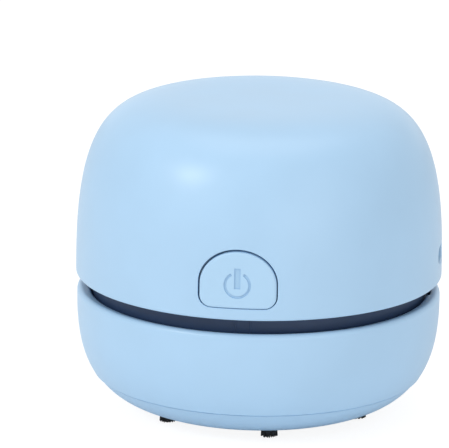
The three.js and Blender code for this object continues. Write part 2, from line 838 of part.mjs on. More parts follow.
// The motor plate: it carries the motor, battery, boards and the switch posts.
function motorPlate() {
  const seatRadius = motorRadius + motorSeatLip;
  const disc = ring([
    [plateHoleRadius, plateFoot],
    [plateRadius, plateFoot],
    [plateRadius, plateTop],
    [seatRadius, plateTop],
    [seatRadius, motorSeatTop],
    [plateHoleRadius, motorSeatTop],
  ], innerSteps);
  const plateMiddle = plateFoot + plateThickness / 2;
  const stands = pegPlaces.map((spot) => rod(standRadius, plateMiddle, plateTop + boardStand, spot));
  const pegs = pegPlaces.map((spot) => rod(pegRadius, plateTop, boardTop, spot));
  const cell = cellCylinder(cellRadius + seatGap, bodyRadius);
  const cradles = [-1, 1].map((side) => cradle(side).subtract(cell));
  const posts = [-1, 1].map((side) => switchPost(side));
  const below = plateFoot - overrun;
  const caseHoles = casePlaces.map((spot) => rod(shankHoleRadius, below, plateTop + overrun, spot));
  const recessTop = plateFoot + motorScrewRecess;
  const recesses = motorScrewPlaces.map((spot) => rod(headHoleRadius, below, recessTop, spot));
  const above = motorSeatTop + overrun;
  const motorHoles = motorScrewPlaces.map((spot) => rod(shankHoleRadius, below, above, spot));
  const reliefAcross = [-lipHalfWidth - seatGap, lipHalfWidth + seatGap];
  const reliefAlong = [-bodyRadius, buttonTravel + seatGap - buttonBack];
  const reliefFoot = buttonLevel - buttonDrop - buttonLip - seatGap;
  const buttonRelief = block(reliefAcross, reliefAlong, [reliefFoot, buttonLevel]);
  const carriers = join([disc, ...stands, ...pegs, ...cradles, ...posts]);
  return cut(carriers, [...caseHoles, ...recesses, ...motorHoles, buttonRelief]);
}

// The battery cell along X, with its raised plus cap at +X.
function batteryCell() {
  const points = [
    [0, -cellHalf],
    [cellRadius - cellEdge, -cellHalf],
    [cellRadius, cellEdge - cellHalf],
    [cellRadius, cellHalf - cellEdge],
    [cellRadius - cellEdge, cellHalf],
    [cellCapRadius, cellHalf],
    [cellCapRadius, cellHalf + cellCap],
    [0, cellHalf + cellCap],
  ];
  const geometry = new THREE.LatheGeometry(points.map(([r, h]) => new THREE.Vector2(r, h)), innerSteps);
  geometry.rotateZ(-Math.PI / 2);
  geometry.translate(0, cellPlace, cellLevel);
  return solid(geometry);
}

// A nickel tab standing against one end of the cell.
function batteryTab(side) {
  const end = cellHalf + (side > 0 ? cellCap : 0) + seatGap;
  const along = [cellPlace - tabWidth / 2, cellPlace + tabWidth / 2];
  const levels = [cellLevel - tabHeight / 2, cellLevel + tabHeight / 2];
  return block(span(side, end, end + tabThickness), along, levels);
}

// The charging board with its soldered parts and its two peg holes.
function chargeBoard() {
  const board = block([boardNear, boardFar], [-boardHalfWidth, boardHalfWidth], [boardFoot, boardTop]);
  const chipPlace = (boardNear + socketNear) / 2;
  const chipAcross = [chipPlace - chipSize / 2, chipPlace + chipSize / 2];
  const chip = block(chipAcross, [-chipSize / 2, chipSize / 2], [boardFoot, boardTop + chipHeight]);
  const pegHoles = pegPlaces.map((spot) => (
    rod(pegRadius + seatGap, boardFoot - overrun, boardTop + overrun, spot)));
  return cut(join([board, chip]), pegHoles);
}

// A flat outline with round ends, wider than it is tall.
function stadium(halfWidth, height) {
  const radius = height / 2;
  const shape = new THREE.Shape();
  shape.absarc(halfWidth - radius, 0, radius, -Math.PI / 2, Math.PI / 2);
  shape.absarc(radius - halfWidth, 0, radius, Math.PI / 2, Math.PI * 3 / 2);
  return shape;
}

// The charging socket: a metal sleeve with a contact tongue inside.
function usbSocket() {
  const sleeve = sidePrism(stadium(socketHalfWidth, socketHeight), socketNear, socketFront, socketLevel);
  const mouth = stadium(socketHalfWidth - socketWall, socketHeight - 2 * socketWall);
  const hollow = sidePrism(mouth, socketNear + socketFloor, socketFront + overrun, socketLevel);
  const tongueAcross = [socketNear, socketFront - tongueSetback];
  const tongueLevels = [socketLevel - tongueThickness / 2, socketLevel + tongueThickness / 2];
  const tongue = block(tongueAcross, [-tongueHalfWidth, tongueHalfWidth], tongueLevels);
  return sleeve.subtract(hollow).add(tongue);
}

// The button's outline: an arch over straight sides with rounded lower corners.
function buttonOutline(growth) {
  const halfWidth = buttonHalfWidth + growth;
  const drop = buttonDrop + growth;
  const round = buttonCorner + growth;
  const shape = new THREE.Shape();
  shape.absarc(halfWidth - round, round - drop, round, -Math.PI / 2, 0);
  shape.absellipse(0, 0, halfWidth, buttonArch + growth, 0, Math.PI, false, 0);
  shape.absarc(round - halfWidth, round - drop, round, Math.PI, Math.PI * 3 / 2);
  return shape;
}

// The power symbol's ring, open at its top.
function symbolRing() {
  const from = THREE.MathUtils.degToRad(90 + symbolOpening);
  const to = THREE.MathUtils.degToRad(450 - symbolOpening);
  const shape = new THREE.Shape();
  shape.absarc(0, 0, symbolRadius, from, to, false);
  shape.absarc(0, 0, symbolRadius - symbolStroke, to, from, true);
  return shape;
}

function symbolBar() {
  const half = symbolBarWidth / 2;
  return new THREE.Shape([
    new THREE.Vector2(-half, -symbolBarDrop),
    new THREE.Vector2(half, -symbolBarDrop),
    new THREE.Vector2(half, symbolBarRise),
    new THREE.Vector2(-half, symbolBarRise),
  ]);
}

// The power button: a cap that follows the dome, a retaining lip behind the wall, and a stem.
function powerButton() {
  const extrude = (outline) => frontPrism(outline, buttonBack, bodyRadius + overrun, buttonLevel);
  const cap = extrude(buttonOutline(0)).intersect(domeSolid(buttonProud));
  const lip = extrude(buttonOutline(buttonLip)).intersect(domeSolid(-shellWall - seatGap));
  const stem = frontRod(stemRadius, stemTip, buttonBack + buttonLipThickness / 2, buttonLevel);
  const symbol = join([extrude(symbolRing()), extrude(symbolBar())]);
  const engraving = symbol.subtract(domeSolid(buttonProud - symbolDepth));
  return join([cap, lip, stem]).subtract(engraving);
}

function switchPlunger() {
  return frontRod(plungerRadius, plungerFoot, plungerTip, buttonLevel);
}

function switchBody() {
  const across = [-switchHalfWidth, switchHalfWidth];
  const levels = [buttonLevel - switchHalfWidth, buttonLevel + switchHalfWidth];
  const bore = frontRod(plungerRadius + slideGap, switchBoreFloor, switchFace + overrun, buttonLevel);
  return block(across, [-switchFace, -switchBack], levels).subtract(bore);
}

function switchBoard() {
  const foot = plateTop + seatGap;
  const across = [-switchBoardHalfWidth, switchBoardHalfWidth];
  return block(across, [-switchBoardFront, -switchBoardBack], [foot, foot + switchBoardHeight]);
}

// The upper shell: the dome with its button and socket openings and its ribbed screw bosses.
function upperShell() {
  const outer = domeCurve(0, rimLevel + rimRound);
  const inner = domeCurve(-shellWall, rimLevel + rimRound, innerRows).reverse();
  const dome = revolve([
    ...inner,
    [domeInner, rimLevel],
    [bodyRadius - rimRound, rimLevel],
    ...outer,
  ], bodySteps);
  const bosses = casePlaces.map((spot) => rod(postRadius, bossFoot, bossFoot + bossDepth, spot));
  const webs = fixingAngles.map((angle) => {
    const near = caseScrewCircle + postRadius / 2;
    const far = domeInner;
    const geometry = new THREE.BoxGeometry(far - near, webThickness, bossDepth);
    geometry.translate((near + far) / 2, 0, bossFoot + bossDepth / 2);
    geometry.rotateZ(THREE.MathUtils.degToRad(angle));
    return solid(geometry);
  });
  const pilotTop = bossFoot + caseScrewBite + overrun;
  const pilots = casePlaces.map((spot) => rod(shankHoleRadius, bossFoot - overrun, pilotTop, spot));
  const through = [domeInner - overrun, bodyRadius + overrun];
  const buttonHole = frontPrism(buttonOutline(buttonGap), ...through, buttonLevel);
  const opening = stadium(socketHalfWidth + socketOpeningGap, socketHeight + 2 * socketOpeningGap);
  const socketHole = sidePrism(opening, ...through, socketLevel);
  return cut(join([dome, ...bosses, ...webs]), [...pilots, buttonHole, socketHole]);
}

// A lead along a smooth route of hand-placed points, whose heights are above the motor plate.
function lead(route) {
  const points = route.map(([x, y, height]) => new THREE.Vector3(x, y, plateTop + height));
  const curve = new THREE.CatmullRomCurve3(points);
  const section = polygon(leadRadius, leadSides);
  return solid(new THREE.ExtrudeGeometry(section, { steps: leadSteps, extrudePath: curve }));
}

const motorRedRoute = [
  [6.2, 0, 31.9], [9, 0.3, 32.1], [12.6, 1.2, 29.3], [14.1, 2, 21.9], [14.6, 2.6, 9.9], [17.5, 3, 5.4],
  [21.8, 3, 4.5], [23.2, 3, 3.2],
];
const motorBlackRoute = [
  [-6.2, 0, 31.9], [-8, 1.8, 32.7], [-5, 5.2, 33.1], [2, 4.6, 33.3], [8.5, -1.6, 32.9], [12.5, -4, 30.5],
  [14, -4.4, 19.9], [14.8, -4, 8.9], [18, -3, 5.4], [21.8, -3, 4.5], [23.2, -3, 3.2],
];
const cellRedRoute = [
  [27, 21.6, 8.2], [29, 21, 8.1], [30.2, 17.5, 6.9], [29.8, 12, 4.9], [29.2, 7.5, 4.3], [29, 5.4, 3.2],
];
const cellBlackRoute = [
  [-25.6, 21.6, 8.2], [-27.8, 21.4, 8.9], [-28, 20.6, 13.4], [-24.5, 20, 16.9], [-12, 19.6, 17.3],
  [12, 19.6, 17.3], [23, 19.2, 16.9], [28.6, 16.6, 13.9], [31.6, 11.5, 8.9], [31.6, 6, 5.4],
  [30.4, 3.4, 4.3], [29, 2.4, 3.2],
];

const bin = new THREE.Group();
bin.add(piece('lower_shell', lowerShell(), shellBlue));
bin.add(piece('base_plate', basePlate(), shellBlue));
bin.add(piece('intake_duct', intakeDuct(), darkPlastic));
for (let i = 0; i < tuftCount / tuftsPerStrip; i += 1) {
  bin.add(piece(`brush_strip_${i + 1}`, brushStrip(i), bristleBlack));
}
basePlaces.forEach((spot, i) => {
  const fixing = screw(`base_screw_${i + 1}`, baseTowerSeat + seatGap + baseScrewBite);
  fixing.position.set(...spot, baseTowerTop - baseTowerSeat - seatGap);
  bin.add(fixing);
});

const filter = new THREE.Group();
filter.add(piece('filter_frame', filterFrame(), greyPlastic));
filter.add(piece('filter_sponge', filterSponge(), foamGrey));

const fan = new THREE.Group();
fan.add(piece('impeller', impeller(), whitePlastic));
fan.add(piece('motor_shaft', motorShaft(), plated));

const button = new THREE.Group();
button.add(piece('power_button', powerButton(), shellBlue));
button.add(piece('switch_plunger', switchPlunger(), greyPlastic));

const head = new THREE.Group();
head.add(piece('upper_shell', upperShell(), shellBlue));
head.add(piece('fan_housing', fanHousing(), darkPlastic));
head.add(piece('motor_plate', motorPlate(), darkPlastic));
head.add(piece('motor_can', motorCan(), plated));
head.add(piece('motor_end_bell', motorEndBell(), greyPlastic));
head.add(piece('motor_terminal_left', motorTerminal(-1), plated));
head.add(piece('motor_terminal_right', motorTerminal(1), plated));
head.add(piece('battery_cell', batteryCell(), cellBlue));
head.add(piece('battery_tab_plus', batteryTab(1), plated));
head.add(piece('battery_tab_minus', batteryTab(-1), plated));
head.add(piece('charge_board', chargeBoard(), boardGreen));
head.add(piece('usb_socket', usbSocket(), plated));
head.add(piece('switch_board', switchBoard(), boardGreen));
head.add(piece('switch_body', switchBody(), greyPlastic));
head.add(piece('motor_lead_red', lead(motorRedRoute), leadRed));
head.add(piece('motor_lead_black', lead(motorBlackRoute), leadBlack));
head.add(piece('battery_lead_red', lead(cellRedRoute), leadRed));
head.add(piece('battery_lead_black', lead(cellBlackRoute), leadBlack));
casePlaces.forEach((spot, i) => {
  const seat = postSeatLevel - seatGap;
  const fixing = screw(`case_screw_${i + 1}`, bossFoot - seat + caseScrewBite);
  fixing.position.set(...spot, seat);
  head.add(fixing);
});
motorScrewPlaces.forEach((spot, i) => {
  const seat = plateFoot + motorScrewRecess;
  const fixing = screw(`motor_screw_${i + 1}`, motorFoot - seat + motorScrewDepth);
  fixing.position.set(...spot, seat - seatGap);
  head.add(fixing);
});
head.add(fan, button);

const cleaner = new THREE.Group();
cleaner.add(bin, filter, piece('seal_ring', sealRing(), sealRubber), head);

export default cleaner;
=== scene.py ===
"""A desktop mini vacuum cleaner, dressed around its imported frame.

Meshes are modelled in millimetres and turned to metres when they become pieces. The power
button faces -Y, the charging socket faces +X and the body's axis is the Z axis.
"""

import logging
import math
import random
from collections.abc import Callable, Iterable
from dataclasses import dataclass, field
from enum import Enum
from typing import Any

import bmesh
import bpy
from mathutils import Matrix, Vector, noise

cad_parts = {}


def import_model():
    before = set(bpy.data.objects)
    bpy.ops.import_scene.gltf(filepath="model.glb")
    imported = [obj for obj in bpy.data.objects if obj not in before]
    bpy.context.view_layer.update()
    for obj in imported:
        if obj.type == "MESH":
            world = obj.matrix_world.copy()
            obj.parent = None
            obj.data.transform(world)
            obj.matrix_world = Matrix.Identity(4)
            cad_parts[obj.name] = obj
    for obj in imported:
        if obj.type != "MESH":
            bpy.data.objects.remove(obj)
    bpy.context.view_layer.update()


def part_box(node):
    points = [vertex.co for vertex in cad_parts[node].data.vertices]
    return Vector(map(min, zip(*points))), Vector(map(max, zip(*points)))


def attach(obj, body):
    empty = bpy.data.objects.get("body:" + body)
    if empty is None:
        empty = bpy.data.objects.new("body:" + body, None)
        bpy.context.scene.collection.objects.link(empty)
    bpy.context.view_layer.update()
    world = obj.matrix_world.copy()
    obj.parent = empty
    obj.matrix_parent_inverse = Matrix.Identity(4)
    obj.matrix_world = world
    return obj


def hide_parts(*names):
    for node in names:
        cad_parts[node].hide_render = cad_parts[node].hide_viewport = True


log = logging.getLogger("cleaner")

MM = 0.001
FULL_TURN = 2 * math.pi

# Divisions of a full turn: of the outer shells, of round parts and of small ones.
FINE_STEPS = 192
ROUND_STEPS = 96
SMALL_STEPS = 32

# Edges that turn by more than this stay sharp when a piece is shaded.
SHARP_ANGLE = math.radians(34)

# Profile corners that turn by less than this aren't rounded.
CORNER_ANGLE = math.radians(20)

# The most that a rounding takes of each side beside its corner.
CORNER_SHARE = 0.45

# Points closer than these are one: in a plain mesh, and after solids are combined.
MERGE = 0.0005
COMBINED_MERGE = 0.002

# Where the twist lock's three lugs stand, in degrees, and the top of the motor plate.
LUG_PLACES = (4, 90, 176)
PLATE_TOP = 34.1

# Circle, number and first angle of the screws through the fan housing and the plate into the dome.
FIXINGS = 33.5
FIXING_COUNT = 3
FIXING_START = 90

# Radii of the hole for a screw's shank and of the one for its head.
PILOT = 1.4
HEAD_HOLE = 2.5

# Radius of the bosses and posts that the screws go into.
BOSS = 3.2

# The charging board's two pegs: how far from its inner edge and from its middle they stand.
PEG_INSET = 2.1
PEG_SPREAD = 5.4

# Each lead's points: x, y and the height above the motor plate.
LEAD_ROUTES = {
    "motor_lead_red": [
        (6.2, 0, 31.9), (9, 0.3, 32.1), (12.6, 1.2, 29.3), (14.1, 2, 21.9), (14.6, 2.6, 9.9),
        (17.5, 3, 5.4), (21.8, 3, 4.5), (23.2, 3, 3.2),
    ],
    "motor_lead_black": [
        (-6.2, 0, 31.9), (-8, 1.8, 32.7), (-5, 5.2, 33.1), (2, 4.6, 33.3), (8.5, -1.6, 32.9),
        (12.5, -4, 30.5), (14, -4.4, 19.9), (14.8, -4, 8.9), (18, -3, 5.4), (21.8, -3, 4.5),
        (23.2, -3, 3.2),
    ],
    "battery_lead_red": [
        (27, 21.6, 8.2), (29, 21, 8.1), (30.2, 17.5, 6.9), (29.8, 12, 4.9), (29.2, 7.5, 4.3),
        (29, 5.4, 3.2),
    ],
    "battery_lead_black": [
        (-25.6, 21.6, 8.2), (-27.8, 21.4, 8.9), (-28, 20.6, 13.4), (-24.5, 20, 16.9),
        (-12, 19.6, 17.3), (12, 19.6, 17.3), (23, 19.2, 16.9), (28.6, 16.6, 13.9),
        (31.6, 11.5, 8.9), (31.6, 6, 5.4), (30.4, 3.4, 4.3), (29, 2.4, 3.2),
    ],
}

Point = tuple[float, float]
Profile = list[Point]
Mesh = bmesh.types.BMesh
Material = bpy.types.Material


class Operation(Enum):
    """How two solids are combined."""

    JOIN = "UNION"
    CUT = "DIFFERENCE"


def linear(code: str) -> tuple[float, float, float, float]:
    """Turns an sRGB hex colour to the linear colour that shaders take.

    Args:
        code: Six hex digits after a hash sign.

    Returns:
        Red, green, blue and an alpha of one.
    """
    channels = [int(code[i : i + 2], 16) / 255 for i in (1, 3, 5)]
    red, green, blue = (
        c / 12.92 if c <= 0.04045 else ((c + 0.055) / 1.055) ** 2.4 for c in channels
    )
    return red, green, blue, 1.0


def node(
    tree: bpy.types.NodeTree, kind: str, inputs: dict | None = None, **settings
) -> bpy.types.Node:
    """Adds one node with its settings and links.

    Args:
        tree: The node tree that takes it.
        kind: The node's type name.
        inputs: Values for its inputs by name or number. A socket is linked, anything else is set.
        settings: Properties of the node itself.

    Returns:
        The new node.
    """
    made = tree.nodes.new(kind)
    for key, value in settings.items():
        setattr(made, key, value)
    for key, value in (inputs or {}).items():
        if isinstance(value, bpy.types.NodeSocket):
            tree.links.new(value, made.inputs[key])
        else:
            made.inputs[key].default_value = value
    return made


def place(radius: float, degrees: float) -> Point:
    """Returns the point at a radius and an angle round the axis."""
    angle = math.radians(degrees)
    return radius * math.cos(angle), radius * math.sin(angle)


def even_places(radius: float, count: int, start: float) -> list[Point]:
    """Returns points spread evenly round the axis from a start angle."""
    return [place(radius, start + i * 360 / count) for i in range(count)]


def case_fixings() -> list[Point]:
    """Returns where the screws stand that hold the fan housing, the plate and the dome together."""
    return even_places(FIXINGS, FIXING_COUNT, FIXING_START)


def corner(
    radius: float, level: float, size: float, start: float, end: float, rows: int = 8
) -> Profile:
    """Makes part of a circle as profile points.

    Args:
        radius: Radius at which the circle's centre lies.
        level: Level of the circle's centre.
        size: The circle's own radius.
        start: Angle of the first point in degrees, from straight outwards.
        end: Angle of the last point.
        rows: Number of stretches.

    Returns:
        Points as pairs of radius and level.
    """
    turns = (place(size, start + (end - start) * i / rows) for i in range(rows + 1))
    return [(radius + across, level + up) for across, up in turns]


def resample(points: Profile, rows: int) -> Profile:
    """Spreads points evenly along a polyline.

    Args:
        points: The polyline.
        rows: Number of equal stretches.

    Returns:
        One point more than there are stretches.
    """
    lengths = [0.0]
    for a, b in zip(points, points[1:]):
        lengths.append(lengths[-1] + math.dist(a, b))
    made = []
    span = 0
    for i in range(rows + 1):
        at = lengths[-1] * i / rows
        while span < len(points) - 2 and lengths[span + 1] < at:
            span += 1
        share = (at - lengths[span]) / max(lengths[span + 1] - lengths[span], 1e-9)
        share = min(max(share, 0.0), 1.0)
        (x0, y0), (x1, y1) = points[span], points[span + 1]
        made.append((x0 + (x1 - x0) * share, y0 + (y1 - y0) * share))
    return made


def soften(profile: Profile, size: float, closed: bool = True, rows: int = 3) -> Profile:
    """Rounds the sharp corners of a profile.

    Args:
        profile: The outline's points.
        size: How far from the corner each rounding starts, limited by half of each side.
        closed: Whether the last point joins the first one.
        rows: Stretches in each rounding.

    Returns:
        The rounded outline.
    """
    made = []
    count = len(profile)
    for i, point in enumerate(profile):
        here = Vector(point)
        if not closed and i in (0, count - 1):
            made.append(point)
            continue
        before = Vector(profile[i - 1]) - here
        after = Vector(profile[(i + 1) % count]) - here
        if before.length < 1e-6 or after.length < 1e-6:
            continue
        if math.pi - before.angle(after) < CORNER_ANGLE:
            made.append(point)
            continue
        first = here + before.normalized() * min(size, before.length * CORNER_SHARE)
        last = here + after.normalized() * min(size, after.length * CORNER_SHARE)
        for k in range(rows + 1):
            t = k / rows
            spot = first * (1 - t) ** 2 + here * (2 * t * (1 - t)) + last * t**2
            made.append((spot.x, spot.y))
    return made


def tidy(bm: Mesh) -> Mesh:
    """Merges doubled points and turns every face outwards.

    Args:
        bm: The mesh.

    Returns:
        The same mesh.
    """
    bmesh.ops.remove_doubles(bm, verts=bm.verts[:], dist=MERGE)
    bmesh.ops.recalc_face_normals(bm, faces=bm.faces[:])
    return bm


def lathe(profile: Profile, steps: int = ROUND_STEPS, spot: Point = (0, 0)) -> Mesh:
    """Spins a profile round an upright axis into a closed solid.

    Args:
        profile: Pairs of radius and level. It starts and ends on the axis, or closes on itself.
        steps: Divisions of the full turn.
        spot: Where the axis stands.

    Returns:
        The solid.
    """
    bm = bmesh.new()
    verts = [bm.verts.new((radius, 0.0, level)) for radius, level in profile]
    edges = [bm.edges.new(pair) for pair in zip(verts, verts[1:])]
    if profile[0][0] > 0 or profile[-1][0] > 0:
        edges.append(bm.edges.new((verts[-1], verts[0])))
    bmesh.ops.spin(
        bm,
        geom=verts + edges,
        cent=(0, 0, 0),
        axis=(0, 0, 1),
        angle=FULL_TURN,
        steps=steps,
        use_merge=True,
    )
    return tidy(moved(bm, (*spot, 0)))


def tube(inner: float, outer: float, low: float, high: float, edge: float = 0.2) -> Mesh:
    """Makes an upright ring with softened edges."""
    return lathe(soften([(inner, low), (outer, low), (outer, high), (inner, high)], edge))


def rod(
    radius: float,
    low: float,
    high: float,
    spot: Point = (0, 0),
    edge: float = 0.0,
    steps: int = SMALL_STEPS,
) -> Mesh:
    """Makes an upright round rod.

    Args:
        radius: Its radius.
        low: Level of its lower end.
        high: Level of its upper end.
        spot: Where its axis stands.
        edge: Width of the softening round its ends, if any.
        steps: Divisions of the full turn.

    Returns:
        The solid.
    """
    profile = [(0, low), (radius, low), (radius, high), (0, high)]
    if edge:
        profile = soften(profile, edge, closed=False)
    return lathe(profile, steps, spot)


def bevelled(bm: Mesh, edges: list[bmesh.types.BMEdge], width: float, segments: int) -> Mesh:
    """Rounds some edges of a mesh.

    Args:
        bm: The mesh.
        edges: The edges.
        width: Width of the rounding.
        segments: Faces across the rounding.

    Returns:
        The same mesh.
    """
    bmesh.ops.bevel(
        bm,
        geom=edges,
        offset=width,
        segments=segments,
        profile=0.5,
        affect="EDGES",
        material=-1,
    )
    return bm


def block(low: tuple, high: tuple, edge: float = 0.0, segments: int = 2) -> Mesh:
    """Makes a box between two corners, with rounded edges where edge isn't zero.

    Args:
        low: Lowest x, y and z.
        high: Highest x, y and z.
        edge: Width of the rounding.
        segments: Faces across the rounding.

    Returns:
        The solid.
    """
    bm = bmesh.new()
    bmesh.ops.create_cube(bm, size=1.0)
    size = Vector(high) - Vector(low)
    bmesh.ops.scale(bm, verts=bm.verts[:], vec=size)
    moved(bm, (Vector(low) + Vector(high)) / 2)
    if edge:
        bevelled(bm, bm.edges[:], edge, segments)
    return tidy(bm)


def prism(outline: Profile, low: float, high: float) -> Mesh:
    """Extrudes a flat outline upwards.

    Args:
        outline: Points in x and y.
        low: Level of its foot.
        high: Level of its top.

    Returns:
        The solid.
    """
    bm = bmesh.new()
    face = bm.faces.new([bm.verts.new((x, y, low)) for x, y in outline])
    grown = bmesh.ops.extrude_face_region(bm, geom=[face])["geom"]
    verts = [item for item in grown if isinstance(item, bmesh.types.BMVert)]
    bmesh.ops.translate(bm, verts=verts, vec=(0, 0, high - low))
    return tidy(bm)


def sector(inner: float, outer: float, start: float, end: float, low: float, high: float) -> Mesh:
    """Makes part of a flat ring.

    Args:
        inner: Its inner radius.
        outer: Its outer radius.
        start: Angle at which it starts, in degrees.
        end: Angle at which it ends.
        low: Level of its foot.
        high: Level of its top.

    Returns:
        The solid.
    """
    rows = max(int(abs(end - start)), 4)
    angles = [start + (end - start) * i / rows for i in range(rows + 1)]
    outline = [place(outer, a) for a in angles] + [place(inner, a) for a in reversed(angles)]
    return prism(outline, low, high)


def lofted(rings: list[list[tuple]]) -> Mesh:
    """Bridges rings of points one after another and closes both ends.

    Args:
        rings: Rings with the same number of points each.

    Returns:
        The solid.
    """
    bm = bmesh.new()
    loops = []
    for ring in rings:
        verts = [bm.verts.new(spot) for spot in ring]
        loops.append([bm.edges.new(pair) for pair in zip(verts, verts[1:] + verts[:1])])
    for below, above in zip(loops, loops[1:]):
        bmesh.ops.bridge_loops(bm, edges=below + above)
    for loop in (loops[0], loops[-1]):
        bmesh.ops.edgeloop_fill(bm, edges=loop)
    return tidy(bm)


def turned(bm: Mesh, degrees: float, axis: str, level: float = 0.0) -> Mesh:
    """Turns a mesh at the origin, then lifts it.

    Args:
        bm: The mesh.
        degrees: The angle.
        axis: The axis that it turns round: X, Y or Z.
        level: How far it is lifted.

    Returns:
        The same mesh.
    """
    turn = Matrix.Rotation(math.radians(degrees), 3, axis)
    bmesh.ops.rotate(bm, verts=bm.verts[:], cent=(0, 0, 0), matrix=turn)
    return moved(bm, (0, 0, level))


def sideways(bm: Mesh, level: float = 0.0) -> Mesh:
    """Lays an upright mesh along the X axis, then lifts it.

    Args:
        bm: The mesh.
        level: How far it is lifted.

    Returns:
        The same mesh.
    """
    matrix = Matrix(((0, 0, 1), (1, 0, 0), (0, 1, 0)))
    bmesh.ops.transform(bm, verts=bm.verts[:], matrix=matrix.to_4x4())
    return moved(bm, (0, 0, level))


def moved(bm: Mesh, step: tuple | Vector) -> Mesh:
    """Moves a mesh by a step in x, y and z."""
    bmesh.ops.translate(bm, verts=bm.verts[:], vec=step)
    return bm


def around(turns: Iterable[float], low: tuple, high: tuple, edge: float) -> list[Mesh]:
    """Makes the same box at several angles round the axis.

    Args:
        turns: The angles in degrees.
        low: Lowest x, y and z at no angle.
        high: Highest x, y and z at no angle.
        edge: Width of the rounding of its edges.

    Returns:
        The boxes.
    """
    return [turned(block(low, high, edge), turn, "Z") for turn in turns]


def front_rod(radius: float, near: float, far: float, level: float, edge: float = 0.0) -> Mesh:
    """Makes a round rod that points forwards, between two distances before the axis."""
    return turned(rod(radius, near, far, edge=edge), 90, "X", level)


def stadium(half_width: float, height: float, rows: int = 48) -> Profile:
    """Makes a flat outline with round ends, wider than it is tall.

    Args:
        half_width: Half of its width.
        height: Its height.
        rows: Stretches of both ends together.

    Returns:
        Points across and up from its middle.
    """
    size = height / 2
    right = corner(half_width - size, 0, size, -90, 90, rows // 2)
    return [*right, *corner(size - half_width, 0, size, 90, 270, rows // 2)]


def smooth_path(points: list[Vector], rows: int) -> list[Vector]:
    """Draws a Catmull-Rom curve through points.

    Args:
        points: The points.
        rows: Stretches between two of them.

    Returns:
        The curve's points.
    """
    ends = [points[0] * 2 - points[1], *points, points[-1] * 2 - points[-2]]
    path = []
    for a, b, c, d in zip(ends, ends[1:], ends[2:], ends[3:]):
        for i in range(rows):
            t = i / rows
            bend = (a * 2 - b * 5 + c * 4 - d) * t**2 + (b * 3 - a - c * 3 + d) * t**3
            path.append((b * 2 + (c - a) * t + bend) / 2)
    return [*path, points[-1]]


def swept(path: list[Vector], radius: float, sides: int) -> Mesh:
    """Sweeps a circle along a path and closes both ends.

    Args:
        path: The points of its middle line.
        radius: The circle's radius.
        sides: Divisions of the circle.

    Returns:
        The solid.
    """
    rings = []
    aside = (path[1] - path[0]).orthogonal().normalized()
    for i, spot in enumerate(path):
        ahead = (path[min(i + 1, len(path) - 1)] - path[max(i - 1, 0)]).normalized()
        aside = (aside - ahead * aside.dot(ahead)).normalized()
        across = ahead.cross(aside)
        turns = (place(radius, k * 360 / sides) for k in range(sides))
        rings.append([spot + aside * x + across * y for x, y in turns])
    return lofted(rings)


def painted(bm: Mesh, finish: int) -> Mesh:
    """Gives every face of a mesh one material number."""
    for face in bm.faces:
        face.material_index = finish
    return bm


def boxed(name: str) -> tuple[Vector, Vector]:
    """Returns the lowest and highest corner of a CAD node in millimetres."""
    low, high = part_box(name)
    return Vector(low) / MM, Vector(high) / MM


def levels(name: str) -> tuple[float, float]:
    """Returns the lowest and highest level of a CAD node in millimetres."""
    low, high = boxed(name)
    return low.z, high.z


def gathered(parts: list[Mesh]) -> Mesh:
    """Puts several meshes in one, side by side.

    Args:
        parts: The meshes, which are used up.

    Returns:
        The one mesh.
    """
    whole = bmesh.new()
    for part in parts:
        mesh = bpy.data.meshes.new("part")
        part.to_mesh(mesh)
        part.free()
        whole.from_mesh(mesh)
        bpy.data.meshes.remove(mesh)
    return whole


def combined(base: Mesh, tools: list[Mesh], how: Operation) -> Mesh:
    """Combines a solid with others, which are used up.

    Args:
        base: The solid that is joined or cut.
        tools: The solids that join or cut it, one after another.
        how: The operation.

    Returns:
        The combined solid.
    """
    helpers = []
    for part in [base, *tools]:
        mesh = bpy.data.meshes.new("helper")
        part.to_mesh(mesh)
        part.free()
        helper = bpy.data.objects.new("helper", mesh)
        bpy.context.scene.collection.objects.link(helper)
        helpers.append(helper)
    for helper in helpers[1:]:
        step = helpers[0].modifiers.new("step", "BOOLEAN")
        step.operation = how.value
        step.solver = "EXACT"
        step.object = helper
    solved = helpers[0].evaluated_get(bpy.context.evaluated_depsgraph_get())
    made = bmesh.new()
    made.from_mesh(solved.to_mesh())
    solved.to_mesh_clear()
    for helper in helpers:
        bpy.data.meshes.remove(helper.data)
    bmesh.ops.remove_doubles(made, verts=made.verts[:], dist=COMBINED_MERGE)
    return made


def eased(bm: Mesh, width: float, chosen: Callable[[Vector], bool] | None = None) -> Mesh:
    """Rounds the sharp edges of a mesh.

    Args:
        bm: The mesh.
        width: Width of the rounding.
        chosen: Says of an edge's middle whether it is rounded. All are where it is left out.

    Returns:
        The same mesh.
    """
    edges = []
    for edge in bm.edges:
        if len(edge.link_faces) == 2 and edge.calc_face_angle(0) > SHARP_ANGLE:
            middle = (edge.verts[0].co + edge.verts[1].co) / 2
            if chosen is None or chosen(middle):
                edges.append(edge)
    return bevelled(bm, edges, width, 2)


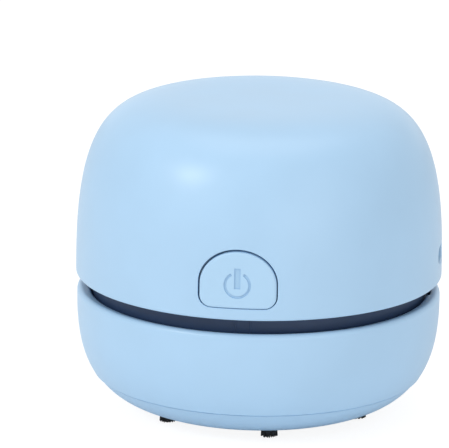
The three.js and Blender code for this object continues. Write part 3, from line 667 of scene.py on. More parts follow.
def piece(
    name: str,
    bm: Mesh,
    body: str,
    nodes: list[str],
    materials: list[Material],
) -> bpy.types.Object:
    """Turns a mesh in millimetres into a finished piece that stands for CAD nodes.

    Args:
        name: The piece's name.
        bm: Its mesh, which is used up.
        body: The body that it rides on.
        nodes: The CAD nodes that it stands for.
        materials: Its materials, in the order of its faces' material numbers.

    Returns:
        The object.
    """
    bmesh.ops.scale(bm, verts=bm.verts[:], vec=(MM, MM, MM))
    mesh = bpy.data.meshes.new(name)
    bm.to_mesh(mesh)
    bm.free()
    mesh.shade_smooth()
    mesh.set_sharp_from_angle(angle=SHARP_ANGLE)
    for material in materials:
        mesh.materials.append(material)
    made = bpy.data.objects.new(name, mesh)
    bpy.context.scene.collection.objects.link(made)
    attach(made, body)
    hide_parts(*nodes)
    log.info("%s: %d faces on %s", name, len(mesh.polygons), body)
    return made


def plain_material(name: str) -> tuple[Material, bpy.types.NodeTree, bpy.types.Node]:
    """Adds a material with nothing set on it yet.

    Args:
        name: The material's name.

    Returns:
        The material, its node tree and its shader.
    """
    material = bpy.data.materials.new(name)
    material.use_nodes = True
    return material, material.node_tree, material.node_tree.nodes["Principled BSDF"]


@dataclass(frozen=True)
class Moulded:
    """Injection-moulded plastic: a satin skin with the fine spark-eroded grain of its tool."""

    name: str
    colour: str
    roughness: float = 0.42
    # The grain of a real tool is finer. It is drawn as coarse as it needs to show.
    grain_mm: float = 0.5
    grain_depth_mm: float = 0.004
    cloud_mm: float = 14.0
    shade: float = 0.04
    gloss_below: float = 0.03
    gloss_above: float = 0.05
    sheen: float = 0.0
    gleam: float = 0.5
    ior: float = 1.5

    def build(self) -> Material:
        """Makes the material, with its colour and gloss clouded a little by the flow of the melt.

        Returns:
            The material.
        """
        material, tree, shader = plain_material(self.name)
        shader.inputs["IOR"].default_value = self.ior
        shader.inputs["Sheen Weight"].default_value = self.sheen
        shader.inputs["Specular IOR Level"].default_value = self.gleam
        where = node(tree, "ShaderNodeTexCoord").outputs["Object"]
        spread = {"Vector": where, "Scale": 1 / (self.cloud_mm * MM), "Detail": 3.0}
        cloud = node(tree, "ShaderNodeTexNoise", spread).outputs["Fac"]
        tints = {"Value": cloud, "To Min": 1 - self.shade, "To Max": 1 + self.shade}
        tint = node(tree, "ShaderNodeMapRange", tints)
        shaded = {"Value": tint.outputs["Result"], "Color": linear(self.colour)}
        colour = node(tree, "ShaderNodeHueSaturation", shaded)
        least, most = self.roughness - self.gloss_below, self.roughness + self.gloss_above
        gloss = node(tree, "ShaderNodeMapRange", {"Value": cloud, "To Min": least, "To Max": most})
        fine = {"Vector": where, "Scale": 1 / (self.grain_mm * MM), "Detail": 2.0}
        grain = node(tree, "ShaderNodeTexNoise", fine).outputs["Fac"]
        relief = {"Height": grain, "Distance": self.grain_depth_mm * MM, "Strength": 1.0}
        bump = node(tree, "ShaderNodeBump", relief)
        tree.links.new(colour.outputs["Color"], shader.inputs["Base Color"])
        tree.links.new(gloss.outputs["Result"], shader.inputs["Roughness"])
        tree.links.new(bump.outputs["Normal"], shader.inputs["Normal"])
        return material


@dataclass(frozen=True)
class Metal:
    """Plated or drawn sheet metal, with faint lines along its length."""

    name: str
    colour: str
    roughness: float = 0.3
    # Drawing lines are finer on real metal. They are drawn as coarse as they need to show.
    line_mm: float = 0.3
    stretch: float = 0.06
    spread: float = 0.08

    def build(self) -> Material:
        """Makes the material, whose gloss varies in fine upright streaks.

        Returns:
            The material.
        """
        material, tree, shader = plain_material(self.name)
        shader.inputs["Base Color"].default_value = linear(self.colour)
        shader.inputs["Metallic"].default_value = 1.0
        where = node(tree, "ShaderNodeTexCoord").outputs["Object"]
        upright = {"Vector": where, "Scale": (1, 1, self.stretch)}
        stretched = node(tree, "ShaderNodeMapping", upright).outputs["Vector"]
        fine = {"Vector": stretched, "Scale": 1 / (self.line_mm * MM), "Detail": 3.0}
        lines = node(tree, "ShaderNodeTexNoise", fine).outputs["Fac"]
        least, most = self.roughness - self.spread, self.roughness + self.spread
        gloss = node(tree, "ShaderNodeMapRange", {"Value": lines, "To Min": least, "To Max": most})
        tree.links.new(gloss.outputs["Result"], shader.inputs["Roughness"])
        return material


@dataclass(frozen=True)
class Foam:
    """Open-cell polyurethane foam: round pores between thin struts, dull all over."""

    name: str
    colour: str
    pore_shade_colour: str
    roughness: float = 0.95
    # Real pores are finer. They are drawn as coarse as they need to show.
    pore_mm: float = 0.9
    pore_depth_mm: float = 0.3
    pore_strength: float = 0.8

    def build(self) -> Material:
        """Makes the material, with painted shade darkening the pores sunk between paler struts.

        Returns:
            The material.
        """
        material, tree, shader = plain_material(self.name)
        shader.inputs["Roughness"].default_value = self.roughness
        where = node(tree, "ShaderNodeTexCoord").outputs["Object"]
        cells = {"Vector": where, "Scale": 1 / (self.pore_mm * MM)}
        pores = node(tree, "ShaderNodeTexVoronoi", cells).outputs["Distance"]
        # The pores' middles take a near-black colour: painted shade inside the holes.
        colours = {0: pores, 6: linear(self.pore_shade_colour), 7: linear(self.colour)}
        mix = node(tree, "ShaderNodeMix", colours, data_type="RGBA")
        depth = self.pore_depth_mm * MM
        relief = {"Height": pores, "Distance": depth, "Strength": self.pore_strength}
        bump = node(tree, "ShaderNodeBump", relief)
        tree.links.new(mix.outputs[2], shader.inputs["Base Color"])
        tree.links.new(bump.outputs["Normal"], shader.inputs["Normal"])
        return material


def made_of(recipe: Moulded | Metal | Foam) -> Any:
    """Returns a field whose material is built once, from its recipe."""
    return field(default_factory=recipe.build)


@dataclass
class Finishes:
    """Every finish of the object, each built once."""

    # ABS from a fine satin tool: an even pale blue with wide, soft highlights.
    shell: Material = made_of(Moulded("satin_blue_abs", "#aed1ee", 0.34, gleam=0.42))
    # The same ABS from a smoother tool: the cap looks a little cleaner and paler.
    cap: Material = made_of(
        Moulded("satin_blue_abs_cap", "#b0d3ef", 0.35, grain_depth_mm=0.002, gleam=0.42)
    )
    # The floor of the engraved strokes, left rough by the tool: duller, and painted a darker blue
    # that stands for the shade in the grooves.
    mark: Material = made_of(Moulded("engraved_blue_abs_painted_shade", "#a3c8e6", 0.5))
    # Dark blue ABS: it reads as a shadow line between the halves, with a faint gloss.
    navy: Material = made_of(
        Moulded("navy_abs", "#293e5d", 0.45, grain_depth_mm=0.002, gleam=0.4)
    )
    # Moulded nylon: dull charcoal grey.
    grey: Material = made_of(Moulded("grey_nylon", "#3a3d42", 0.5))
    # Polypropylene: a cool, slightly waxy white.
    white: Material = made_of(Moulded("white_polypropylene", "#e4e6e8", 0.45))
    # Drawn nylon strands: black, with a thin gleam along each and uneven in tone.
    bristle: Material = made_of(
        Moulded("black_nylon_filament", "#15181c", 0.38, shade=0.2, sheen=0.1)
    )
    # Silicone rubber: black with no clear highlight.
    rubber: Material = made_of(Moulded("black_silicone_rubber", "#202226", 0.7, shade=0.1))
    # Open-cell foam: a dark grey sponge, speckled by painted shade in its pores.
    foam: Material = made_of(Foam("open_cell_foam", "#5a5e64", "#1d1f22"))
    # Zinc-plated steel: a pale, slightly milky metal.
    steel: Material = made_of(Metal("zinc_plated_steel", "#b9bcbe", 0.32))
    # Deep-drawn steel: greyer, with streaks along the can.
    can: Material = made_of(Metal("drawn_motor_can", "#a9acae", 0.34))
    # Nickel plate: bright and faintly warm.
    nickel: Material = made_of(Metal("nickel_plate", "#c8c6c0", 0.22))
    # A thin gold plate on the contacts: yellow and bright.
    brass: Material = made_of(Metal("gilt_contact", "#d9b25c", 0.25))
    # Shrunk PVC film: a glossy blue skin, almost without grain.
    sleeve: Material = made_of(
        Moulded("shrink_sleeve_pvc", "#2a66b8", 0.28, grain_depth_mm=0.001)
    )
    # Solder mask on a glass-epoxy board: glossy green, clouded by the weave below.
    mask: Material = made_of(
        Moulded("solder_mask", "#1c5a3a", 0.3, grain_depth_mm=0.003, shade=0.12)
    )
    # Extruded PVC insulation: plain colours with a soft shine.
    red: Material = made_of(Moulded("red_lead_pvc", "#b3221f", 0.4))
    black: Material = made_of(Moulded("black_lead_pvc", "#1b1b1d", 0.4))


@dataclass(frozen=True)
class Body:
    """Outside form of the whole, measured on the frame, with the curves that shape it."""

    radius: float
    bowl_radius: float
    base: float
    seam: float
    lip: float
    rim: float
    top: float
    dome_side_power: float = 6.3
    dome_rise_power: float = 2.7
    bowl_side_power: float = 5.0
    bowl_drop_power: float = 2.6
    bowl_closing: float = 1.7
    lip_round: float = 1.1
    wall: float = 2.2
    gap: float = 0.3
    dome_fineness: int = 600
    bowl_fineness: int = 200

    @classmethod
    def measured(cls) -> "Body":
        """Reads the driving levels and radii from the frame.

        Returns:
            The form.
        """
        base_low, base_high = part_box("base_plate")
        bowl_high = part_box("lower_shell")[1]
        dome_low, dome_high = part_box("upper_shell")
        return cls(
            radius=dome_high[0] / MM,
            bowl_radius=bowl_high[0] / MM,
            base=base_low[2] / MM,
            seam=base_high[2] / MM,
            lip=bowl_high[2] / MM,
            rim=dome_low[2] / MM,
            top=dome_high[2] / MM,
        )

    @property
    def widest(self) -> float:
        """Level at which the lower body is widest."""
        return self.lip - self.lip_round

    def dome_radius(self, level: float, offset: float = 0.0) -> float:
        """Works out the dome's radius.

        Args:
            level: The level at which it is wanted.
            offset: How far the dome is grown.

        Returns:
            The radius.
        """
        share = (level - self.rim) / (self.top - self.rim + offset)
        share = min(max(share, 0.0), 1.0)
        fall = 1 - share**self.dome_rise_power
        return (self.radius + offset) * fall ** (1 / self.dome_side_power)

    def front(self, x: float, z: float) -> float:
        """Returns how far before the axis the dome's outside lies at a place on it."""
        return math.sqrt(max(self.dome_radius(z) ** 2 - x**2, 0.0))

    def opening(
        self, outline: Callable[[float], Profile], level: float, near: float, edge: float
    ) -> Mesh:
        """Makes a cutter for an opening in the dome's front, which leaves it a rounded outer edge.

        Args:
            outline: Gives the opening's outline, across and up, for a growth.
            level: Level of the outline's origin.
            near: How far before the axis the cutter starts.
            edge: Radius of the rounding.

        Returns:
            The cutter.
        """
        rings = [[(x, -near, level + z) for x, z in outline(0.0)]]
        for turn in range(0, 81, 16):
            growth = edge * (1 - math.cos(math.radians(turn)))
            sink = edge * (1 - math.sin(math.radians(turn)))
            ring = outline(growth)
            rings.append([(x, sink - self.front(x, level + z), level + z) for x, z in ring])
        ring = outline(edge)
        rings.append([(x, -self.front(x, level + z) - 2, level + z) for x, z in ring])
        return lofted(rings)

    def dome_curve(self, low: float, offset: float = 0.0, rows: int = 56) -> Profile:
        """Makes the dome's curve from a level up to the axis.

        Args:
            low: Level of the first point.
            offset: How far the curve is grown.
            rows: Number of stretches.

        Returns:
            Points as pairs of radius and level.
        """
        rise = self.top - self.rim + offset
        start = math.asin(((low - self.rim) / rise) ** (self.dome_rise_power / 2))
        fine = self.dome_fineness
        points = []
        for i in range(fine):
            angle = start + (math.pi / 2 - start) * i / fine
            radius = (self.radius + offset) * math.cos(angle) ** (2 / self.dome_side_power)
            points.append((radius, self.rim + rise * math.sin(angle) ** (2 / self.dome_rise_power)))
        return resample([*points, (0.0, self.rim + rise)], rows)

    def bowl_at(self, level: float) -> float:
        """Returns the radius of the lower body's outside at a level."""
        drop = max(self.widest - level, 0.0) / (self.widest - self.base + self.bowl_closing)
        return self.bowl_radius * (1 - drop**self.bowl_drop_power) ** (1 / self.bowl_side_power)

    def bowl_curve(self, low: float, high: float, rows: int, inset: float = 0.0) -> Profile:
        """Makes the lower body's curve between two levels.

        Args:
            low: The lower level.
            high: The upper level.
            rows: Number of stretches.
            inset: How far it is set in.

        Returns:
            Points as pairs of radius and level.
        """
        fine = self.bowl_fineness
        heights = [low + (high - low) * i / fine for i in range(fine + 1)]
        return resample([(self.bowl_at(level) - inset, level) for level in heights], rows)


@dataclass
class Screws:
    """Small pan-head screws with a cross recess and a cut thread."""

    finishes: Finishes
    shank: float = 1.1
    head: float = 2.2
    head_height: float = 1.4
    pitch: float = 0.8
    thread: float = 0.2
    slot_width: float = 0.6
    slot_length: float = 2.6
    slot_depth: float = 0.7
    crown: float = 0.9
    side: float = 0.5
    let_in: float = 0.5
    plain: float = 0.6
    point: float = 1.0
    point_share: float = 0.35

    def build(self, name: str, body: str) -> None:
        """Makes one screw where its CAD node is, head down.

        Args:
            name: The node's name.
            body: The body that it rides on.
        """
        low, high = boxed(name)
        spot = ((low.x + high.x) / 2, (low.y + high.y) / 2)
        seat = low.z + self.head_height
        crown = corner(self.head - self.crown, seat - self.side, self.crown, 0, -90, 5)
        profile = [(0, low.z), *reversed(crown), (self.head, seat), (0, seat)]
        head = lathe(profile, SMALL_STEPS, spot)
        half = self.slot_length / 2
        narrow = self.slot_width / 2
        x, y = spot
        deep = low.z + self.slot_depth
        cross = [
            block((x - half, y - narrow, low.z - 1), (x + half, y + narrow, deep)),
            block((x - narrow, y - half, low.z - 1), (x + narrow, y + half, deep)),
        ]
        rows = int((high.z - seat) / self.pitch * 4)
        foot, length = seat - self.let_in, high.z - seat + self.let_in
        heights = [foot + length * i / rows for i in range(rows + 1)]
        shank = lathe([(0, heights[0]), *((self.shank, z) for z in heights), (0, heights[-1])], 20)
        for vert in shank.verts:
            radius = math.hypot(vert.co.x, vert.co.y)
            if radius > 0 and vert.co.z > seat + self.plain:
                turn = math.atan2(vert.co.y, vert.co.x) / FULL_TURN
                phase = (vert.co.z / self.pitch - turn) % 1.0
                size = self.shank - self.thread * (1 - abs(2 * phase - 1))
                left = high.z - vert.co.z
                if left < self.point:
                    size *= 1 - self.point_share * (self.point - left)
                vert.co.x *= size / radius
                vert.co.y *= size / radius
        moved(shank, (x, y, 0))
        whole = combined(combined(head, cross, Operation.CUT), [shank], Operation.JOIN)
        piece(f"{name}_turned", whole, body, [name], [self.finishes.steel])


@dataclass
class Brushes:
    """Bristle tufts on their backing strips."""

    finishes: Finishes
    circle: float = 25.193
    start: float = -77.0
    count: int = 6
    per_strip: int = 2
    strands: int = 180
    strand_radius: float = 0.1
    root_radius: float = 1.75
    tip_radius: float = 2.05
    strip_half: float = 2.7
    strip_thickness: float = 2.0
    overhang: float = 6.0
    bite: float = 0.6
    bend: float = 1.5
    uneven: float = 0.25
    rows: int = 4
    stray_angle: float = 9.0
    seed: int = 7

    def build(self) -> None:
        """Makes the three strips."""
        draw = random.Random(self.seed)
        for index in range(self.count // self.per_strip):
            self.strip(index, draw)

    def strip(self, index: int, draw: random.Random) -> None:
        """Makes one strip with its tufts.

        Args:
            index: Which strip, from zero.
            draw: The seeded source of each strand's small differences.
        """
        name = f"brush_strip_{index + 1}"
        low, high = levels(name)
        spacing = 360 / self.count
        first = self.start + index * self.per_strip * spacing
        last = first + (self.per_strip - 1) * spacing
        foot = high - self.strip_thickness
        inner, outer = self.circle - self.strip_half, self.circle + self.strip_half
        backing = sector(inner, outer, first - self.overhang, last + self.overhang, foot, high)
        parts = [eased(backing, 0.25)]
        for tuft in range(self.per_strip):
            centre = place(self.circle, first + tuft * spacing)
            parts.append(self.tuft(centre, low, foot + self.bite, draw))
        dressed = gathered(parts)
        piece(f"{name}_tufted", dressed, "bin", [name], [self.finishes.bristle])

    def tuft(self, centre: Point, low: float, high: float, draw: random.Random) -> Mesh:
        """Makes one tuft, whose strands fill a disc in a sunflower's order and splay to their tips.

        Args:
            centre: Where the tuft stands.
            low: Level of the desk.
            high: Level at which the strands are held.
            draw: The seeded source of each strand's small differences.

        Returns:
            The strands.
        """
        bm = bmesh.new()
        golden = (3 - math.sqrt(5)) * 180
        strands = []
        for i in range(self.strands):
            share = math.sqrt((i + 0.5) / self.strands)
            root = Vector(place((self.root_radius - self.strand_radius) * share, i * golden))
            turn = i * golden + draw.uniform(-self.stray_angle, self.stray_angle)
            tip = Vector(place((self.tip_radius - self.strand_radius) * share, turn))
            end = low + draw.uniform(0.0, self.uneven) * (i % 4 > 0)
            disc = bmesh.ops.create_circle(
                bm, cap_ends=True, segments=5, radius=self.strand_radius
            )["verts"]
            foot = (centre[0] + root.x, centre[1] + root.y, high)
            bmesh.ops.translate(bm, verts=disc, vec=foot)
            strands.append((disc[0].link_faces[0], tip - root, end - high))
        for row in range(1, self.rows + 1):
            bend = (row / self.rows) ** self.bend - ((row - 1) / self.rows) ** self.bend
            marks = {self.middle(face): (lean, drop) for face, lean, drop in strands}
            faces = [face for face, _, _ in strands]
            grown = bmesh.ops.extrude_face_region(bm, geom=faces)["geom"]
            strands = []
            for face in (item for item in grown if isinstance(item, bmesh.types.BMFace)):
                lean, drop = marks[self.middle(face)]
                step = Vector((lean.x * bend, lean.y * bend, drop / self.rows))
                bmesh.ops.translate(bm, verts=list(face.verts), vec=step)
                strands.append((face, lean, drop))
        bmesh.ops.recalc_face_normals(bm, faces=bm.faces[:])
        return bm

    def middle(self, face: bmesh.types.BMFace) -> tuple:
        """Returns a face's middle as a key."""
        return tuple(round(c, 4) for c in face.calc_center_median())


@dataclass
class DustBowl:
    """The lower body: the dust bowl, its base plate and the intake duct."""

    body: Body
    finishes: Finishes
    brushes: Brushes
    collar: float = 38.6
    lip_fall: float = 0.3
    lip_flare: float = 0.65
    lip_flare_depth: float = 0.5
    ledge: float = 19.9
    ledge_inner: float = 36.0
    ledge_depth: float = 1.3
    ledge_taper: float = 2.5
    floor: float = 1.6
    duct_hole: float = 10.9
    lug_half_angle: float = 6.0
    twist: float = 25.0
    slot_radius: float = 39.8
    slot_low: float = 24.9
    slot_high: float = 26.9
    screw_circle: float = 18.2
    screw_start: float = 13.0
    screw_count: int = 3
    boss_drop: float = 2.3
    boss_bite: float = 0.8
    pilot_drop: float = 3.0
    tower: float = 3.8
    tower_foot: float = 0.9
    tower_rise: float = 2.2
    head_seat: float = 0.8
    tuft_hole: float = 2.5
    hole_ease: float = 0.18
    seam_step: float = 0.25
    seam_gap: float = 0.06
    seam_round: float = 0.3
    plate_floor: float = 1.8
    mouth: float = 9.2
    mouth_flare: float = 0.8
    duct_outer: float = 10.6
    duct_flange: float = 13.4
    duct_flange_thickness: float = 1.5

    def build(self) -> None:
        """Makes the three parts."""
        self.bowl()
        self.base_plate()
        self.duct()

    def bowl(self) -> None:
        """Makes the dust bowl with its rounded lip, filter ledge and twist slots."""
        body = self.body
        under = body.seam + body.gap
        foot = body.seam + self.seam_gap
        floor_top = under + self.floor
        ledge_foot = self.ledge - self.ledge_depth
        inside = body.bowl_curve(floor_top + 0.8, ledge_foot - self.ledge_taper, 10, body.wall)
        side = foot + self.seam_round
        start = body.bowl_at(side)
        profile = [
            (self.duct_hole, under),
            (start - body.wall - 0.6, under),
            (start - body.wall - 0.4, foot),
            *corner(start - self.seam_round, side, self.seam_round, -90, -12, 5),
            *body.bowl_curve(side + 0.1, body.widest, 40),
            *corner(body.bowl_radius - body.lip_round, body.widest, body.lip_round, 8, 100, 12),
            *self.lip_inside(),
            (self.collar, self.ledge + 0.2),
            (self.collar - 0.2, self.ledge),
            (self.ledge_inner + 0.3, self.ledge),
            (self.ledge_inner, self.ledge - 0.3),
            (self.ledge_inner, ledge_foot),
            *reversed(inside),
            (inside[0][0] - 0.3, floor_top + 0.25),
            (inside[0][0] - 0.9, floor_top),
            (self.duct_hole, floor_top),
        ]
        shell = lathe(profile, FINE_STEPS)
        half = self.lug_half_angle
        inner = self.collar - 2
        cuts = []
        outer, low = self.slot_radius, self.slot_low
        for angle in LUG_PLACES:
            first, last = angle - half, angle + half
            cuts.append(sector(inner, outer, first, last, low, body.lip + 1))
            cuts.append(sector(inner, outer - 0.01, first - self.twist, angle, low, self.slot_high))
        bosses = []
        boss_top = under + self.boss_bite
        for spot in self.screw_places():
            bosses.append(rod(BOSS, under - self.boss_drop, boss_top, spot, 0.2))
            cuts.append(rod(PILOT, under - self.pilot_drop, boss_top, spot))
        shell = combined(shell, bosses, Operation.JOIN)
        shell = combined(shell, cuts, Operation.CUT)
        piece("dust_bowl", shell, "bin", ["lower_shell"], [self.finishes.shell])

    def screw_places(self) -> list[Point]:
        """Returns where the screws stand that hold the base plate."""
        return even_places(self.screw_circle, self.screw_count, self.screw_start)

    def lip_inside(self) -> Profile:
        """Makes the lip's inner slope and flare.

        Returns:
            Points as pairs of radius and level, from its crest down to the collar.
        """
        crest = self.body.bowl_radius - self.body.lip_round
        edge = self.collar + self.lip_flare
        level = self.body.lip - self.lip_fall
        points = [
            (crest, self.body.lip),
            (edge, level),
            (self.collar, level - self.lip_flare_depth),
            (self.collar, level - self.lip_flare_depth - 2),
        ]
        return soften(points, 0.35, closed=False)[1:]

    def base_plate(self) -> None:
        """Makes the shallow dish under the bowl, with its mouth, tuft holes and screw towers."""
        body = self.body
        floor_top = body.base + self.plate_floor
        rim = body.bowl_at(body.seam) - self.seam_step
        ease = self.seam_round
        outside = body.bowl_curve(body.base, body.seam - ease, 18, self.seam_step)
        wall_foot = body.bowl_at(floor_top + body.gap) - self.seam_step - body.wall
        flare = self.mouth_flare
        profile = [
            *corner(self.mouth + flare, body.base + flare, flare, 180, 270, 6),
            (outside[0][0] - 0.8, body.base),
            (outside[0][0] + 0.2, body.base + 0.15),
            *outside[1:],
            *corner(rim - ease, body.seam - ease, ease, 20, 90, 4),
            (rim - body.wall, body.seam),
            (wall_foot, floor_top + 0.6),
            (wall_foot - 0.8, floor_top),
            (self.mouth, floor_top),
        ]
        dish = lathe(profile, FINE_STEPS)
        spots = self.screw_places()
        foot, top = body.base + self.tower_foot, floor_top + self.tower_rise
        towers = [rod(self.tower, foot, top, spot, 0.2) for spot in spots]
        seat = floor_top + self.head_seat
        cuts = [self.dimple(HEAD_HOLE, body.base, seat, spot) for spot in spots]
        cuts += [rod(PILOT, body.base, floor_top + 3, spot) for spot in spots]
        for spot in even_places(self.brushes.circle, self.brushes.count, self.brushes.start):
            cuts.append(self.dimple(self.tuft_hole, body.base, floor_top + 1, spot))
        dish = combined(dish, towers, Operation.JOIN)
        dish = combined(dish, cuts, Operation.CUT)
        piece("base_cover", dish, "bin", ["base_plate"], [self.finishes.shell])

    def dimple(self, radius: float, face: float, top: float, spot: Point) -> Mesh:
        """Makes a cutter for a round hole from below, whose mouth is eased.

        Args:
            radius: The hole's radius.
            face: Level of the underside that it opens to.
            top: Where it ends.
            spot: Where its axis stands.

        Returns:
            The cutter.
        """
        ease = self.hole_ease
        profile = [
            (0, face - 1),
            (radius + ease, face - 1),
            (radius + ease, face),
            (radius, face + ease),
            (radius, top),
            (0, top),
        ]
        return lathe(profile, 40, spot)

    def duct(self) -> None:
        """Makes the flanged chimney that keeps dust in the bowl."""
        low, high = levels("intake_duct")
        step = low + self.duct_flange_thickness
        profile = [
            (self.mouth, low),
            (self.duct_flange, low),
            (self.duct_flange, step),
            (self.duct_outer, step),
            (self.duct_outer, high),
            (self.mouth, high),
        ]
        chimney = lathe(soften(profile, 0.35))
        finishes = [self.finishes.navy]
        piece("intake_chimney", chimney, "bin", ["intake_duct"], finishes)


@dataclass
class FilterUnit:
    """The filter cup with its grid floor, and the sponge that lies in it."""

    finishes: Finishes
    cup: float = 32.4
    cup_inner: float = 31.0
    flange: float = 38.2
    flange_thickness: float = 1.2
    floor: float = 1.2
    bar: float = 1.6
    hub: float = 5.0
    sponge: float = 30.6
    sponge_edge: float = 0.7
    gap: float = 0.3
    rows: int = 46
    unevenness: float = 0.12
    dent_scale: float = 0.9

    def build(self) -> None:
        """Makes the cup and the sponge."""
        low, high = levels("filter_frame")
        self.frame(low, high)
        self.foam(low + self.floor + self.gap, high)

    def frame(self, low: float, high: float) -> None:
        """Makes the cup, its flange, hub and bars.

        Args:
            low: Level of the grid's underside.
            high: Level of the flange's top.
        """
        seat = high - self.flange_thickness
        profile = [
            (self.cup_inner, low),
            (self.cup, low),
            (self.cup, seat),
            (self.flange, seat),
            (self.flange, high),
            (self.cup_inner, high),
        ]
        cup = lathe(soften(profile, 0.3), FINE_STEPS)
        reach = (self.cup + self.cup_inner) / 2
        half = self.bar / 2
        top = low + self.floor
        bars = around((0, 60, 120), (-reach, -half, low), (reach, half, top), 0.25)
        hub = rod(self.hub, low, low + self.floor, edge=0.3, steps=ROUND_STEPS)
        cup = combined(cup, [*bars, hub], Operation.JOIN)
        piece("filter_cup", cup, "filter", ["filter_frame"], [self.finishes.grey])

    def foam(self, low: float, high: float) -> None:
        """Makes the sponge, a cut disc of foam with soft edges and a slightly uneven face.

        Args:
            low: Level of its underside.
            high: Level of its top.
        """
        edge = self.sponge_edge
        flat = self.sponge - edge
        top = [(flat - flat * i / self.rows, high) for i in range(self.rows + 1)]
        bottom = [(r, low) for r, _ in reversed(top)]
        rounded = corner(flat, low + edge, edge, -80, 0, 5)
        rounded += corner(flat, high - edge, edge, 0, 80, 5)
        disc = lathe([*bottom, *rounded, *top], ROUND_STEPS)
        for vert in disc.verts:
            dent = self.unevenness * abs(noise.noise(vert.co * self.dent_scale))
            vert.co.z -= dent * (1 if vert.co.z > low + 1 else -1)
        finishes = [self.finishes.foam]
        sponge = piece("filter_foam", disc, "filter", ["filter_sponge"], finishes)


@dataclass
class SealBand:
    """The rubber ring with two lips that closes the skirt against the collar."""

    finishes: Finishes
    lip: float = 0.25
    lip_level: float = 0.3
    thickness: float = 0.9

    def build(self) -> None:
        """Makes the ring."""
        low, high = levels("seal_ring")
        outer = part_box("seal_ring")[1][0] / MM
        inner = outer - self.thickness
        body = outer - self.lip
        profile = [
            (inner, low),
            (body, low),
            (outer, low + self.lip_level),
            (body, (low + high) / 2),
            (outer, high - self.lip_level),
            (body, high),
            (inner, high),
        ]
        band = lathe(soften(profile, 0.12), FINE_STEPS)
        piece("seal_band", band, "seal", ["seal_ring"], [self.finishes.rubber])


@dataclass
class FanUnit:
    """The impeller and the motor's shaft."""

    finishes: Finishes
    radius: float = 25.0
    disc_low: float = 30.0
    disc_high: float = 31.0
    hub: float = 3.0
    blades: int = 9
    root: float = 9.0
    sweep: float = 48.0
    thickness: float = 1.0
    bore: float = 1.07
    shaft_radius: float = 1.0
    rows: int = 20

    def build(self) -> None:
        """Makes the impeller and the shaft."""
        low, high = levels("impeller")
        disc = rod(self.radius, self.disc_low, self.disc_high, edge=0.3, steps=ROUND_STEPS)
        hub = rod(self.hub, low, high, edge=0.3)
        blades = [self.blade(i * 360 / self.blades, low) for i in range(self.blades)]
        wheel = combined(disc, [hub, *blades], Operation.JOIN)
        wheel = combined(wheel, [rod(self.bore, low - 1, high + 1)], Operation.CUT)
        piece("fan_wheel", wheel, "fan", ["impeller"], [self.finishes.white])
        foot, top = levels("motor_shaft")
        shaft = rod(self.shaft_radius, foot, top, edge=0.2)
        piece("fan_shaft", shaft, "fan", ["motor_shaft"], [self.finishes.steel])

    def blade(self, angle: float, low: float) -> Mesh:
        """Makes one blade, swept back along a curve from its root to its tip.

        Args:
            angle: Where its root stands, in degrees.
            low: Level of its free edge.

        Returns:
            The blade, let into the disc.
        """
        front, back = [], []
        for i in range(self.rows + 1):
            share = i / self.rows
            radius = self.root + (self.radius - self.thickness - self.root) * share
            turn = angle - self.sweep * share**2
            half = math.degrees(self.thickness / 2 / radius)
            front.append(place(radius, turn - half))
            back.append(place(radius, turn + half))
        blade = prism([*front, *reversed(back)], low, (self.disc_low + self.disc_high) / 2)
        return eased(blade, 0.22, lambda at: at.z < self.disc_low)


